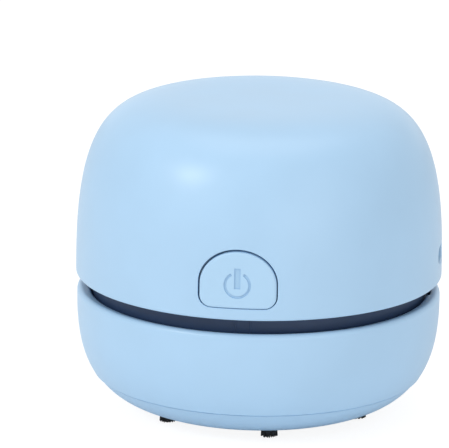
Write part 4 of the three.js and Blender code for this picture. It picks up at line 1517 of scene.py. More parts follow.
@dataclass
class DriveUnit:
    """The motor and the plate that carries everything inside the dome."""

    finishes: Finishes
    button: "PowerButton"
    plate_hole: float = 3.1
    plate_low: float = 32.5
    plate_high: float = PLATE_TOP
    seat_radius: float = 13.4
    seat_high: float = 35.3
    peg_foot: float = 1.6
    peg: float = 0.8
    recess: float = 1.7
    clearance: float = 0.3
    can_radius: float = 12.2
    bearing: float = 2.8
    screw_circle: float = 8.0
    cell_place: float = 21.6
    cell_level: float = 42.5
    cell_radius: float = 7.0
    cradle_place: float = 15.0
    cradle_half: float = 1.2
    cradle_reach: float = 6.0
    cradle_drop: float = 2.5
    post_wall: float = 1.6
    post_grip: float = 1.2
    post_reach: float = 4.0
    post_rise: float = 9.0
    bore: float = 1.07

    def build(self) -> None:
        """Makes the plate, the can, the end bell and the terminals."""
        self.plate()
        self.can()
        self.end_bell()
        for side in ("left", "right"):
            self.terminal(f"motor_terminal_{side}")

    def plate(self) -> None:
        """Makes the plate with its motor seat, cradles, pegs and switch posts."""
        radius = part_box("motor_plate")[1][0] / MM
        profile = [
            (self.plate_hole, self.plate_low),
            (radius, self.plate_low),
            (radius, self.plate_high),
            (self.seat_radius, self.plate_high),
            (self.seat_radius, self.seat_high),
            (self.plate_hole, self.seat_high),
        ]
        plate = lathe(soften(profile, 0.25), FINE_STEPS)
        middle = (self.plate_low + self.plate_high) / 2
        board_low, board_high = boxed("charge_board")
        added = []
        for side in (-1, 1):
            spot = (board_low.x + PEG_INSET, side * PEG_SPREAD)
            added.append(rod(self.peg_foot, middle, board_low.z - self.clearance, spot))
            added.append(rod(self.peg, middle, board_high.z - 1.1, spot, 0.2))
        added += [self.cradle(side, middle) for side in (-1, 1)]
        added += [self.post(side, middle) for side in (-1, 1)]
        plate = combined(plate, added, Operation.JOIN)
        below = self.plate_low - 1
        cuts = [rod(PILOT, below, self.plate_high + 1, spot) for spot in case_fixings()]
        for spot in even_places(self.screw_circle, 2, 90):
            cuts.append(rod(HEAD_HOLE, below, self.plate_low + self.recess, spot))
            cuts.append(rod(PILOT, below, self.seat_high + 1, spot))
        button = self.button
        half = button.half_width + button.lip + self.clearance
        relief = button.level - button.drop - button.lip - self.clearance
        cuts.append(block((-half, -50, relief), (half, 1.5 - button.back, button.level)))
        plate = combined(plate, cuts, Operation.CUT)
        piece("drive_plate", plate, "head", ["motor_plate"], [self.finishes.navy])

    def cradle(self, side: int, low: float) -> Mesh:
        """Makes one rib with a round seat for the cell.

        Args:
            side: -1 for the left one, 1 for the right one.
            low: Level of its foot, inside the plate.

        Returns:
            The rib.
        """
        centre, half = side * self.cradle_place, self.cradle_half
        near, far = self.cell_place - self.cradle_reach, self.cell_place + self.cradle_reach
        top = self.cell_level - self.cradle_drop
        rib = block((centre - half, near, low), (centre + half, far, top), 0.3)
        seat = sideways(rod(self.cell_radius + self.clearance, -50, 50, steps=64))
        moved(seat, (0, self.cell_place, self.cell_level))
        return combined(rib, [seat], Operation.CUT)

    def post(self, side: int, low: float) -> Mesh:
        """Makes one slotted post that holds an edge of the switch board.

        Args:
            side: -1 for the left one, 1 for the right one.
            low: Level of its foot, inside the plate.

        Returns:
            The post.
        """
        board_low, board_high = boxed("switch_board")
        wall, gap = self.post_wall, self.clearance
        edge = board_high.x + gap
        near, far = sorted((side * (board_high.x - self.post_grip), side * (edge + wall)))
        top = self.plate_high + self.post_rise
        post = block((near, board_low.y - wall, low), (far, board_high.y + wall, top), 0.25)
        near, far = sorted((side * (board_high.x - self.post_reach), side * edge))
        slot = block((near, board_low.y - gap, self.plate_high), (far, board_high.y + gap, top + 1))
        return combined(post, [slot], Operation.CUT)

    def can(self) -> None:
        """Makes the drawn can with its rounded shoulder, vents, crimps and threaded holes."""
        low, high = levels("motor_can")
        foot = self.seat_high + self.clearance
        radius = self.can_radius
        shoulder = 1.4
        profile = [
            (0, low),
            (self.bearing - 0.3, low),
            (self.bearing, low + 0.3),
            (self.bearing, foot),
            (radius - shoulder, foot),
            *corner(radius - shoulder, foot + shoulder, shoulder, -80, 0, 7),
            *corner(radius - 0.4, high - 0.4, 0.4, 0, 90, 4),
            (0, high),
        ]
        can = lathe(profile, ROUND_STEPS)
        cuts = [rod(self.bore, low - 1, low + 6.8)]
        for spot in even_places(self.screw_circle, 2, 90):
            cuts.append(rod(PILOT, foot - 1, foot + 3.3, spot))
        vent = (radius - 0.8, -4.5, high - 8), (radius + 1, 4.5, high - 3.5)
        cuts += around((0, 180), *vent, 0.6)
        crimp = (radius - 0.35, -1.1, high - 1.7), (radius + 1, 1.1, high - 0.7)
        cuts += around(range(45, 360, 90), *crimp, 0.25)
        can = combined(can, cuts, Operation.CUT)
        piece("motor_case", can, "head", ["motor_can"], [self.finishes.can])

    def end_bell(self) -> None:
        """Makes the moulded end bell with its brush covers and rear bearing."""
        low, high = levels("motor_end_bell")
        radius = self.can_radius - 0.3
        top = high - 1.5
        profile = [
            (0, low),
            (radius, low),
            (radius, top),
            (self.bearing + 1.4, top),
            (self.bearing + 1.1, top + 0.4),
            (self.bearing, top + 0.4),
            (self.bearing, high),
            (0, high),
        ]
        bell = lathe(soften(profile, 0.4, closed=False), ROUND_STEPS)
        covers = around((90, 270), (4.6, -2.6, top - 0.6), (11.0, 2.6, top + 0.25), 0.25)
        bell = combined(bell, covers, Operation.JOIN)
        cuts = [rod(1.2, high - 1.2, high + 1)]
        notch = (9.2, -1.2, top - 0.9), (12.5, 1.2, top + 0.6)
        cuts += around((30, 150, 210, 330), *notch, 0.3)
        bell = combined(bell, cuts, Operation.CUT)
        piece("motor_bell", bell, "head", ["motor_end_bell"], [self.finishes.grey])

    def terminal(self, name: str) -> None:
        """Makes one flat terminal with its eye.

        Args:
            name: The node that it stands for.
        """
        low, high = boxed(name)
        tab = block(low, high, 0.12, 1)
        middle = (low + high) / 2
        eye = moved(sideways(rod(0.5, -2, 2, steps=24)), (middle.x, 0, high.z - 0.8))
        tab = combined(tab, [eye], Operation.CUT)
        piece(f"{name}_tinned", tab, "head", [name], [self.finishes.nickel])


@dataclass
class PowerUnit:
    """The cell, its tabs, both boards, the socket, the switch and the leads."""

    finishes: Finishes
    button: "PowerButton"
    board_thickness: float = 1.0
    peg_hole: float = 1.1
    pad_width: float = 0.5
    chip: float = 3.6
    # Middles of the small parts beside the chip, from the chip's own middle.
    small_parts: tuple[Point, ...] = (
        (0.5, 4.6), (0.5, 3.1), (0.5, -3.1), (0.5, -4.6), (3.7, -3.4), (3.7, -0.6),
    )
    cap_radius: float = 2.75
    cell_cap: float = 1.5
    washer_inner: float = 2.9
    washer_outer: float = 5.9
    lead_radius: float = 0.6
    plunger_radius: float = 1.5
    socket_wall: float = 0.35
    socket_floor: float = 1.2

    def build(self) -> None:
        """Makes all of it."""
        self.cell()
        self.tabs()
        self.charge_board()
        self.socket()
        self.switch()
        for name, route in LEAD_ROUTES.items():
            self.lead(name, route)

    def cell(self) -> None:
        """Makes the cell in its shrink sleeve, with its steel ends and its insulating washer."""
        low, high = boxed("battery_cell")
        radius = (high.z - low.z) / 2
        middle = (low + high) / 2
        end = high.x - self.cell_cap
        sleeve_profile = [
            (radius - 1.3, low.x),
            *corner(radius - 0.6, low.x + 0.6, 0.6, -90, 0, 6),
            *corner(radius - 0.6, end - 0.6, 0.6, 0, 90, 6),
            (radius - 1.3, end),
            (radius - 1.3, end - 0.25),
            (radius - 0.5, end - 0.6),
            (radius - 0.3, low.x + 0.7),
            (radius - 1.3, low.x + 0.25),
        ]
        sleeve = lathe(sleeve_profile, ROUND_STEPS)
        case = rod(radius - 0.65, low.x + 0.28, end - 0.45, edge=0.4, steps=ROUND_STEPS)
        washer = tube(self.washer_inner, self.washer_outer, end - 0.4, end - 0.12, 0.06)
        cap = rod(self.cap_radius, end - 0.5, high.x, edge=0.5, steps=48)
        parts = [painted(sleeve, 0), painted(case, 1), painted(washer, 2), painted(cap, 1)]
        for part in parts:
            moved(sideways(part), (0, middle.y, middle.z))
        finishes = [self.finishes.sleeve, self.finishes.nickel, self.finishes.white]
        piece("cell_sleeved", gathered(parts), "head", ["battery_cell"], finishes)

    def tabs(self) -> None:
        """Makes the two nickel strips, each with its two rows of spot welds."""
        for name, turn in (("battery_tab_plus", 1), ("battery_tab_minus", -1)):
            low, high = boxed(name)
            tab = block(low, high, 0.08, 1)
            face = high.x if turn > 0 else low.x
            middle = (low + high) / 2
            welds = []
            for across in (-0.9, 0.9):
                for up in (-1.1, 0.4):
                    weld = sideways(rod(0.35, -0.1, 0.1, steps=16))
                    welds.append(moved(weld, (face, middle.y + across, middle.z + up)))
            tab = combined(tab, welds, Operation.CUT)
            piece(f"{name}_welded", tab, "head", [name], [self.finishes.nickel])

    def charge_board(self) -> None:
        """Makes the charging board with its chip, small parts, pads and peg holes."""
        low, high = boxed("charge_board")
        top = low.z + self.board_thickness
        board = block(low, (high.x, high.y, top), 0.1, 1)
        spots = [(low.x + PEG_INSET, side * PEG_SPREAD) for side in (-1, 1)]
        holes = [rod(self.peg_hole, low.z - 1, top + 1, spot) for spot in spots]
        board = combined(board, holes, Operation.CUT)
        socket_near = boxed("usb_socket")[0].x
        chip_x = (low.x + socket_near) / 2
        half = self.chip / 2
        chip = block((chip_x - half, -half, top + 0.1), (chip_x + half, half, high.z), 0.15)
        parts = [board, painted(chip, 1)]
        for spot in spots:
            pad = tube(self.peg_hole, self.peg_hole + self.pad_width, top - 0.05, top + 0.04, 0.02)
            parts.append(painted(moved(pad, (*spot, 0)), 2))
        for side in (-1, 1):
            for i in range(4):
                y = (i - 1.5) * 0.8
                near, far = sorted((chip_x + side * (half - 0.2), chip_x + side * (half + 0.55)))
                leg = block((near, y - 0.15, top), (far, y + 0.15, top + 0.22), 0.05, 1)
                parts.append(painted(leg, 2))
        for across, y in self.small_parts:
            x = chip_x + across
            ends = block((x - 0.8, y - 0.4, top), (x + 0.8, y + 0.4, top + 0.45), 0.08, 1)
            body = block((x - 0.5, y - 0.42, top), (x + 0.5, y + 0.42, top + 0.5), 0.06, 1)
            parts += [painted(ends, 2), painted(body, 1)]
        finishes = [self.finishes.mask, self.finishes.grey, self.finishes.nickel]
        piece("charge_board_fitted", gathered(parts), "head", ["charge_board"], finishes)

    def socket(self) -> None:
        """Makes the charging socket: a folded sleeve with a tongue and its contacts."""
        low, high = boxed("usb_socket")
        level = (low.z + high.z) / 2
        wall, floor = self.socket_wall, self.socket_floor
        half, height = high.y, high.z - low.z
        sleeve = prism(stadium(half, height, 32), low.x, high.x)
        hollow = prism(stadium(half - wall, height - 2 * wall, 32), low.x + floor, high.x + 1)
        sleeve = sideways(eased(combined(sleeve, [hollow], Operation.CUT), 0.1), level)
        tongue = block((low.x + 0.5, -3.3, level - 0.35), (high.x - 0.8, 3.3, level + 0.35), 0.15)
        painted(tongue, 1)
        contacts = []
        for i in range(6):
            y = (i - 2.5) * 0.95
            for up in (-1, 1):
                z = level + up * 0.35
                near = (high.x - 4.2, y - 0.2, z - 0.04)
                far = (high.x - 1.1, y + 0.2, z + 0.04)
                contacts.append(painted(block(near, far, 0.02, 1), 2))
        finishes = [self.finishes.nickel, self.finishes.grey, self.finishes.brass]
        dressed = gathered([sleeve, tongue, *contacts])
        piece("charge_socket", dressed, "head", ["usb_socket"], finishes)

    def solder(self) -> Mesh:
        """Makes one drop of solder that rises from a pad."""
        side = [(0.95, -0.04), (0.9, 0.08), (0.55, 0.4), (0.42, 0.75), (0.2, 0.95)]
        return lathe([(0, -0.04), *side, (0, 1.0)], 24)

    def switch(self) -> None:
        """Makes the switch board, the switch with its metal cover, and its plunger."""
        low, high = boxed("switch_board")
        board = block(low, high, 0.1, 1)
        joints = []
        for x in (-2.6, 2.6):
            for z in (-2.3, 2.3):
                drop = turned(lathe([(0, 0), (0.8, 0), (0.35, 0.5), (0, 0.55)], 20), -90, "X")
                moved(drop, (x, high.y - 0.02, self.button.level + z))
                joints.append(painted(drop, 1))
        finishes = [self.finishes.mask, self.finishes.nickel]
        soldered = gathered([board, *joints])
        piece("switch_board_soldered", soldered, "head", ["switch_board"], finishes)
        low, high = boxed("switch_body")
        housing = block((low.x, low.y + 0.15, low.z), high, 0.3)
        tip = -boxed("switch_plunger")[0].y
        bore = front_rod(self.plunger_radius + 0.2, -high.y + 0.6, tip, self.button.level)
        housing = combined(housing, [bore], Operation.CUT)
        near = (low.x + 0.3, low.y, low.z + 0.3)
        cover = block(near, (high.x - 0.3, low.y + 0.4, high.z - 0.3), 0.1)
        hole = front_rod(self.plunger_radius + 0.5, -low.y - 1, -low.y + 1, self.button.level)
        cover = painted(combined(cover, [hole], Operation.CUT), 1)
        finishes = [self.finishes.grey, self.finishes.nickel]
        dressed = gathered([housing, cover])
        piece("switch_case", dressed, "head", ["switch_body"], finishes)
        low, high = boxed("switch_plunger")
        plunger = front_rod(self.plunger_radius, -high.y, -low.y, self.button.level, 0.3)
        finishes = [self.finishes.white]
        piece("switch_pin", plunger, "button", ["switch_plunger"], finishes)

    def contact(self, name: str, side: int) -> Vector:
        """Finds the place on a terminal or tab at which a lead starts.

        Args:
            name: The lead's node.
            side: -1 where it starts on the left, 1 where it starts on the right.

        Returns:
            The place, with its level left at zero.
        """
        if name.startswith("motor"):
            tabs = [boxed(f"motor_terminal_{which}") for which in ("left", "right")]
        else:
            tabs = [boxed(f"battery_tab_{which}") for which in ("plus", "minus")]
        low, high = next(box for box in tabs if box[0].x * side > 0)
        return Vector((high.x if side > 0 else low.x, (low.y + high.y) / 2, 0))

    def lead(self, name: str, route: list[tuple]) -> None:
        """Makes one insulated lead along a smooth curve, bared and soldered at each end.

        Args:
            name: The node that it stands for.
            route: Its points: x, y and the height above the motor plate.
        """
        path = smooth_path([Vector((x, y, PLATE_TOP + up)) for x, y, up in route], 8)
        side = 1 if path[0].x > 0 else -1
        start = self.contact(name, side)
        start.z = path[0].z
        board_top = levels("charge_board")[0] + self.board_thickness
        end = path[-1] + (path[-1] - path[-3]) * 0.5
        end.z = board_top
        bare = self.lead_radius * 0.6
        parts = [
            painted(swept(path, self.lead_radius, 14), 0),
            painted(swept([start, path[0], path[2]], bare, 10), 1),
            painted(swept([path[-3], path[-1], end], bare, 10), 1),
            painted(moved(turned(self.solder(), 90 * side, "Y"), tuple(start)), 1),
            painted(moved(self.solder(), tuple(end)), 1),
        ]
        colour = self.finishes.red if "red" in name else self.finishes.black
        dressed = gathered(parts)
        piece(f"{name}_insulated", dressed, "head", [name], [colour, self.finishes.nickel])


@dataclass
class PowerButton:
    """The button's cap with its engraved power symbol, its retaining lip and its stem."""

    body: Body
    finishes: Finishes
    level: float = 39.9
    half_width: float = 8.5
    arch: float = 7.5
    drop: float = 5.1
    round: float = 2.5
    gap: float = 0.4
    proud: float = 0.25
    edge: float = 0.45
    symbol_radius: float = 3.05
    symbol_stroke: float = 0.6
    symbol_opening: float = 30.0
    bar_width: float = 1.4
    bar_rise: float = 3.75
    bar_drop: float = 0.85
    symbol_depth: float = 0.26
    sag: Point = (0.05, -0.17)
    fullness: float = 0.08
    lip: float = 1.1
    lip_thickness: float = 1.0
    stem_radius: float = 2.2

    @property
    def back(self) -> float:
        """How far before the axis the lip's back lies, which keeps the lip clear of the dome."""
        inside = self.body.radius - self.body.wall - self.body.gap
        return math.sqrt(inside**2 - (self.half_width + self.lip) ** 2) - self.lip_thickness

    def outline(self, growth: float, rows: int = 144) -> Profile:
        """Makes the button's outline: an arch over straight sides with rounded lower corners.

        Args:
            growth: How far the outline is grown.
            rows: Number of points.

        Returns:
            Points across and up from the button's widest level.
        """
        half, drop, size = self.half_width + growth, self.drop + growth, self.round + growth
        points = corner(half - size, size - drop, size, -90, 0, 12)
        for i in range(1, 48):
            x, y = place(1.0, 180 * i / 48)
            points.append((half * x, (self.arch + growth) * y))
        points += corner(size - half, size - drop, size, 180, 270, 12)
        return resample([*points, points[0]], rows)[:-1]

    def opening(self, edge: float) -> Mesh:
        """Makes the cutter for the cap's opening in the dome."""
        return self.body.opening(
            lambda growth: self.outline(self.gap + growth), self.level, self.back - 4, edge
        )

    def surface(self, x: float, z: float) -> float:
        """Returns how far before the axis the cap's face lies at a place on it."""
        return self.body.front(x, z) + self.proud

    def build(self) -> None:
        """Makes the cap, which has play in its opening and so hangs a little low in it."""
        stem = front_rod(self.stem_radius, self.back - 1, self.back + 0.5, self.level, 0.2)
        cap = combined(self.skin(), [stem], Operation.JOIN)
        strokes = [self.groove(self.ring_outline()), self.groove(self.bar_outline())]
        cap = combined(cap, strokes, Operation.CUT)
        # Faces on the strokes' floors take the darker material: painted shade in the grooves.
        for face in painted(cap, 0).faces:
            middle = face.calc_center_median()
            depth = self.surface(middle.x, middle.z) + middle.y
            beside = math.hypot(middle.x, middle.z - self.level)
            if depth > 0.06 and beside < self.bar_rise + 0.2 and middle.y < -self.back - 2:
                face.material_index = 1
        moved(cap, (self.sag[0], 0, self.sag[1]))
        finishes = [self.finishes.cap, self.finishes.mark]
        piece("button_cap", cap, "button", ["power_button"], finishes)

    def skin(self) -> Mesh:
        """Makes the cap's solid: rings from its back over the lip and the edge to its middle.

        Returns:
            The solid.
        """
        back, front = self.back, self.back + self.lip_thickness
        stages = []
        ease = 0.15
        lip = [(-ease, back), (0.0, back + ease), (0.0, front - ease), (-ease, front)]
        for growth, distance in [*lip, (-self.lip, front)]:
            outline = self.outline(self.lip + growth)
            stages.append([(x, -distance, self.level + z) for x, z in outline])
        for turn in range(0, 91, 15):
            inset = self.edge * (1 - math.cos(math.radians(turn))) - self.fullness
            sink = self.edge * (1 - math.sin(math.radians(turn)))
            outline = self.outline(-inset)
            places = [(x, self.level + z) for x, z in outline]
            stages.append([(x, sink - self.surface(x, z), z) for x, z in places])
        inner = self.outline(self.fullness - self.edge)
        for k in (0.94, 0.86, 0.76, 0.65, 0.54, 0.43, 0.32, 0.21, 0.1, 0.03):
            places = [(x * k, self.level + z * k) for x, z in inner]
            stages.append([(x, -self.surface(x, z), z) for x, z in places])
        return lofted(stages)

    def groove(self, outline: Profile) -> Mesh:
        """Makes a cutter for one stroke of the symbol, whose floor follows the cap's face.

        Args:
            outline: The stroke's outline across and up.

        Returns:
            The cutter.
        """
        cutter = moved(prism(outline, 30, 60), (-self.sag[0], -self.sag[1], 0))
        cutter = turned(cutter, 90, "X", self.level)
        for vert in cutter.verts:
            deep = -self.surface(vert.co.x, vert.co.z)
            vert.co.y = deep + self.symbol_depth if vert.co.y > -45 else deep - 1
        return cutter

    def ring_outline(self) -> Profile:
        """Makes the symbol's ring, open at its top.

        Returns:
            Points across and up from the symbol's middle.
        """
        start, end = 90 + self.symbol_opening, 450 - self.symbol_opening
        outer = corner(0, 0, self.symbol_radius, start, end, 48)
        inner = corner(0, 0, self.symbol_radius - self.symbol_stroke, end, start, 48)
        return [*outer, *inner]

    def bar_outline(self) -> Profile:
        """Makes the symbol's upright bar, with its sides divided so that its floor can bend.

        Returns:
            Points across and up from the symbol's middle.
        """
        half = self.bar_width / 2
        rows = 12
        length = self.bar_rise + self.bar_drop
        heights = [-self.bar_drop + length * i / rows for i in range(rows + 1)]
        return [*((half, z) for z in heights), *((-half, z) for z in reversed(heights))]


@dataclass
class Dome:
    """The upper shell with its button and socket openings and its screw bosses."""

    body: Body
    finishes: Finishes
    button: PowerButton
    rim_round: float = 0.6
    edge: float = 0.17
    socket_half: float = 4.85
    socket_height: float = 3.9
    socket_edge: float = 0.35
    boss_low: float = 34.4
    boss_height: float = 12.0
    pilot_short: float = 2.0
    web: float = 0.8

    def build(self) -> None:
        """Makes the dome."""
        body = self.body
        inner = body.radius - body.wall
        ease = self.rim_round
        profile = [
            *reversed(body.dome_curve(body.rim + ease, -body.wall, 40)),
            (inner, body.rim + 0.2),
            (inner + 0.2, body.rim),
            *corner(body.radius - ease, body.rim + ease, ease, -90, -8, 6),
            *body.dome_curve(body.rim + ease, rows=64),
        ]
        shell = lathe(profile, FINE_STEPS)
        top = self.boss_low + self.boss_height
        added = [rod(BOSS, self.boss_low, top, spot, 0.2) for spot in case_fixings()]
        web = (FIXINGS + BOSS / 2, -self.web, self.boss_low), (inner + 0.5, self.web, top)
        added += around((90, 210, 330), *web, 0.2)
        shell = combined(shell, added, Operation.JOIN)
        cuts = [rod(PILOT, body.rim, top - self.pilot_short, spot) for spot in case_fixings()]
        cuts += [self.button.opening(self.edge), self.socket_opening(inner - 4)]
        shell = combined(shell, cuts, Operation.CUT)
        piece("dome_shell", shell, "head", ["upper_shell"], [self.finishes.shell])

    def socket_opening(self, near: float) -> Mesh:
        """Makes the cutter for the charging notch in the dome's side.

        Args:
            near: How far from the axis the cutter starts.

        Returns:
            The cutter.
        """
        low, high = levels("usb_socket")
        half, height = self.socket_half, self.socket_height
        cutter = self.body.opening(
            lambda growth: stadium(half + growth, height + 2 * growth),
            (low + high) / 2,
            near,
            self.socket_edge,
        )
        return turned(cutter, 90, "Z")


@dataclass
class FanCase:
    """The fan housing: the dark wall in the air gap, the skirt, the deck and its guarded eye."""

    body: Body
    finishes: Finishes
    outer: float = 38.2
    inner: float = 36.2
    deck_low: float = 24.0
    deck_high: float = 25.5
    eye: float = 11.0
    groove: float = 37.4
    groove_low: float = 22.6
    groove_high: float = 24.2
    mark_places: tuple[float, ...] = (-91.2, -86.0)
    mark_radius: float = 0.36
    mark_depth: float = 0.2
    lug_reach: float = 39.5
    lug_half_angle: float = 5.0
    lug_low: float = 25.2
    lug_high: float = 26.6
    screw_depth: float = 4.6
    guard: float = 1.2
    ring_inner: float = 4.9
    ring_outer: float = 6.1
    guard_reach: float = 12.2
    vents: int = 8
    vent_start: float = 24.0
    vent_end: float = 156.0
    rib: float = 5.0

    def build(self) -> None:
        """Makes the housing."""
        low, high = levels("fan_housing")
        profile = [
            (self.inner, low),
            (self.outer, low),
            (self.outer, self.groove_low),
            (self.groove, self.groove_low),
            (self.groove, self.groove_high),
            (self.outer, self.groove_high),
            (self.outer, high),
            (self.inner, high),
            (self.inner, self.deck_high),
            (self.eye, self.deck_high),
            (self.eye, self.deck_low),
            (self.inner, self.deck_low),
        ]
        shell = lathe(soften(profile, 0.2), FINE_STEPS)
        shell = combined(shell, self.slits(), Operation.CUT)
        added = []
        for angle in self.mark_places:
            spot = place(self.outer - self.mark_depth, angle)
            added.append(rod(self.mark_radius, self.body.lip - 1, high, spot))
        for angle in LUG_PLACES:
            first, last = angle - self.lug_half_angle, angle + self.lug_half_angle
            lug = sector(self.inner + 1, self.lug_reach, first, last, self.lug_low, self.lug_high)
            added.append(eased(lug, 0.2))
        posts = case_fixings()
        added += [rod(BOSS, self.deck_low, high, spot, 0.15) for spot in posts]
        foot, reach, half = self.deck_high - self.guard, self.guard_reach, self.guard / 2
        top = self.deck_high - 0.02
        added.append(block((-reach, -half, foot), (reach, half, top), 0.2))
        added.append(block((-half, -reach, foot), (half, reach, top), 0.2))
        added.append(tube(self.ring_inner, self.ring_outer, foot, self.deck_high - 0.01, 0.2))
        shell = combined(shell, added, Operation.JOIN)
        seat = high - self.screw_depth
        cuts = [rod(HEAD_HOLE, self.deck_low - 1, seat, spot) for spot in posts]
        cuts += [rod(PILOT, self.deck_low, high + 1, spot) for spot in posts]
        shell = combined(shell, cuts, Operation.CUT)
        piece("fan_case", shell, "head", ["fan_housing"], [self.finishes.navy])

    def slits(self) -> list[Mesh]:
        """Makes the cutters for the outlet vents at the rear.

        Returns:
            One cutter for each vent.
        """
        inner, outer = self.inner - 1, self.outer + 1
        low, high = self.body.lip, self.body.rim - 0.2
        share = (self.vent_end - self.vent_start) / self.vents
        cutters = []
        for i in range(self.vents):
            start = self.vent_start + i * share + self.rib / 2
            end = start + share - self.rib
            cutters.append(sector(inner, outer, start, end, low, high))
        return cutters


@dataclass(frozen=True)
class Studio:
    """Camera, floor and lights, matched to the photograph's view."""

    distance: float = 1.0
    elevation: float = 15.3
    azimuth: float = 6.4
    roll: float = 0.9
    target_level: float = 0.0372
    frame_width_px: float = 449.0
    frame_height_px: float = 448.0
    target_x_px: float = 259.1
    target_y_px: float = 247.4
    focal_px: float = 4354.0
    sensor: float = 36.0
    ambient: float = 0.61
    gloss: float = 0.62
    floor_half: float = 6.0
    floor_tone: float = 0.95
    floor_shade: float = 0.2
    floor_glow: float = 0.9

    def build(self) -> None:
        """Makes the camera, the floor, the lamps and the world."""
        self.camera()
        self.floor()
        self.lamps()
        self.world()

    def camera(self) -> None:
        """Makes the camera at its fitted place and aims it for the photograph's framing."""
        data = bpy.data.cameras.new("camera")
        data.sensor_width = self.sensor
        data.lens = self.sensor * self.focal_px / self.frame_width_px
        data.clip_start = 0.05
        data.clip_end = 50
        camera = bpy.data.objects.new("camera", data)
        bpy.context.scene.collection.objects.link(camera)
        bpy.context.scene.camera = camera
        rise, side = math.radians(self.elevation), math.radians(self.azimuth)
        flat = math.cos(rise)
        back = Vector((math.sin(side) * flat, -math.cos(side) * flat, math.sin(rise)))
        target = Vector((0, 0, self.target_level))
        look = back.to_track_quat("Z", "Y").to_matrix()
        right_px = self.target_x_px - self.frame_width_px / 2
        down_px = self.target_y_px - self.frame_height_px / 2
        yaw = Matrix.Rotation(math.atan(right_px / self.focal_px), 3, "Y")
        pitch = Matrix.Rotation(math.atan(down_px / self.focal_px), 3, "X")
        roll = Matrix.Rotation(math.radians(self.roll), 3, "Z")
        turn = look @ roll @ yaw @ pitch
        camera.matrix_world = Matrix.Translation(target + back * self.distance) @ turn.to_4x4()

    def floor(self) -> None:
        """Makes the pale floor, which keeps the object's shadow and is clear from below."""
        bm = bmesh.new()
        bmesh.ops.create_grid(bm, x_segments=1, y_segments=1, size=self.floor_half)
        mesh = bpy.data.meshes.new("floor")
        bm.to_mesh(mesh)
        bm.free()
        floor = bpy.data.objects.new("floor", mesh)
        bpy.context.scene.collection.objects.link(floor)
        # Matt white board: it lights the object from below and shows a faint shadow under it.
        material = bpy.data.materials.new("pale_floor")
        material.use_nodes = True
        tree = material.node_tree
        tree.nodes.clear()
        seen = node(tree, "ShaderNodeLightPath").outputs["Is Camera Ray"]
        tone, shade = self.floor_tone, self.floor_shade
        lit = node(tree, "ShaderNodeBsdfDiffuse", {"Color": (tone, tone, tone, 1)})
        faint = node(tree, "ShaderNodeBsdfDiffuse", {"Color": (shade, shade, shade, 1)})
        even = {"Color": (1, 1, 1, 1), "Strength": self.floor_glow}
        glow = node(tree, "ShaderNodeEmission", even)
        shown = node(tree, "ShaderNodeAddShader", {0: faint.outputs[0], 1: glow.outputs[0]})
        both = node(tree, "ShaderNodeMixShader", {0: seen, 1: lit.outputs[0], 2: shown.outputs[0]})
        below = node(tree, "ShaderNodeNewGeometry").outputs["Backfacing"]
        clear = node(tree, "ShaderNodeBsdfTransparent")
        mixed = {0: below, 1: both.outputs[0], 2: clear.outputs[0]}
        whole = node(tree, "ShaderNodeMixShader", mixed)
        node(tree, "ShaderNodeOutputMaterial", {"Surface": whole.outputs[0]})
        mesh.materials.append(material)

    def lamp(
        self, name: str, spot: tuple, size: tuple, power: float, aim: tuple = (0, 0, 0.04)
    ) -> None:
        """Adds one soft box.

        Args:
            name: Its name.
            spot: Where it hangs.
            size: Its width and height.
            power: Its power in watts.
            aim: The point that it faces.
        """
        data = bpy.data.lights.new(name, "AREA")
        data.shape = "RECTANGLE"
        data.size, data.size_y = size
        data.energy = power
        lamp = bpy.data.objects.new(name, data)
        bpy.context.scene.collection.objects.link(lamp)
        facing = (Vector(spot) - Vector(aim)).to_track_quat("Z", "Y").to_matrix()
        lamp.matrix_world = Matrix.Translation(Vector(spot)) @ facing.to_4x4()

    def lamps(self) -> None:
        """Hangs the soft boxes."""
        self.lamp("key", (-0.645, -0.645, 0.655), (0.24, 0.24), 3.12)
        self.lamp("top", (0.0, 0.1, 1.0), (0.8, 0.75), 2.5)
        self.lamp("left_fill", (-0.9, -0.9, 0.3), (0.9, 0.6), 0.3)
        self.lamp("back", (0.0, 1.3, 0.18), (1.4, 0.2), 0.45)
        self.lamp("right_glow", (0.72, -0.62, 0.62), (0.4, 0.4), 0.42)
        self.lamp("right_fill", (0.7, -1.0, 0.15), (0.9, 0.5), 1.98)

    def world(self) -> None:
        """Makes the even surroundings, which show white to the camera and in gloss."""
        world = bpy.data.worlds.new("surroundings")
        bpy.context.scene.world = world
        world.use_nodes = True
        tree = world.node_tree
        tree.nodes.clear()
        path = node(tree, "ShaderNodeLightPath").outputs
        mirrored = {0: path["Is Glossy Ray"], 1: self.gloss}
        gloss = node(tree, "ShaderNodeMath", mirrored, operation="MULTIPLY")
        seen = {0: path["Is Camera Ray"], 1: gloss.outputs[0]}
        straight = node(tree, "ShaderNodeMath", seen, operation="MAXIMUM")
        ends = {"Value": straight.outputs[0], "To Min": self.ambient, "To Max": 1.0}
        level = node(tree, "ShaderNodeMapRange", ends).outputs["Result"]
        sky = node(tree, "ShaderNodeBackground", {"Color": (1, 1, 1, 1), "Strength": level})
        node(tree, "ShaderNodeOutputWorld", {"Surface": sky.outputs[0]})
        bpy.context.scene.view_settings.view_transform = "Standard"


def main() -> None:
    """Builds every sub-assembly around the frame."""
    logging.basicConfig(level=logging.INFO)
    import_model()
    finishes = Finishes()
    body = Body.measured()
    button = PowerButton(body, finishes)
    brushes = Brushes(finishes)
    brushes.build()
    DustBowl(body, finishes, brushes).build()
    FilterUnit(finishes).build()
    SealBand(finishes).build()
    Dome(body, finishes, button).build()
    button.build()
    FanCase(body, finishes).build()
    FanUnit(finishes).build()
    DriveUnit(finishes, button).build()
    PowerUnit(finishes, button).build()
    screws = Screws(finishes)
    for i in range(3):
        screws.build(f"base_screw_{i + 1}", "bin")
        screws.build(f"case_screw_{i + 1}", "head")
    for i in range(2):
        screws.build(f"motor_screw_{i + 1}", "head")
    Studio().build()
    bpy.context.view_layer.update()


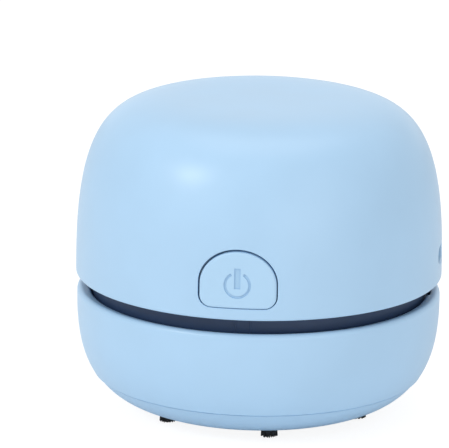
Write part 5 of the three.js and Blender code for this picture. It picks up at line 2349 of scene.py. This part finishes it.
if __name__ == "__main__":
    main()
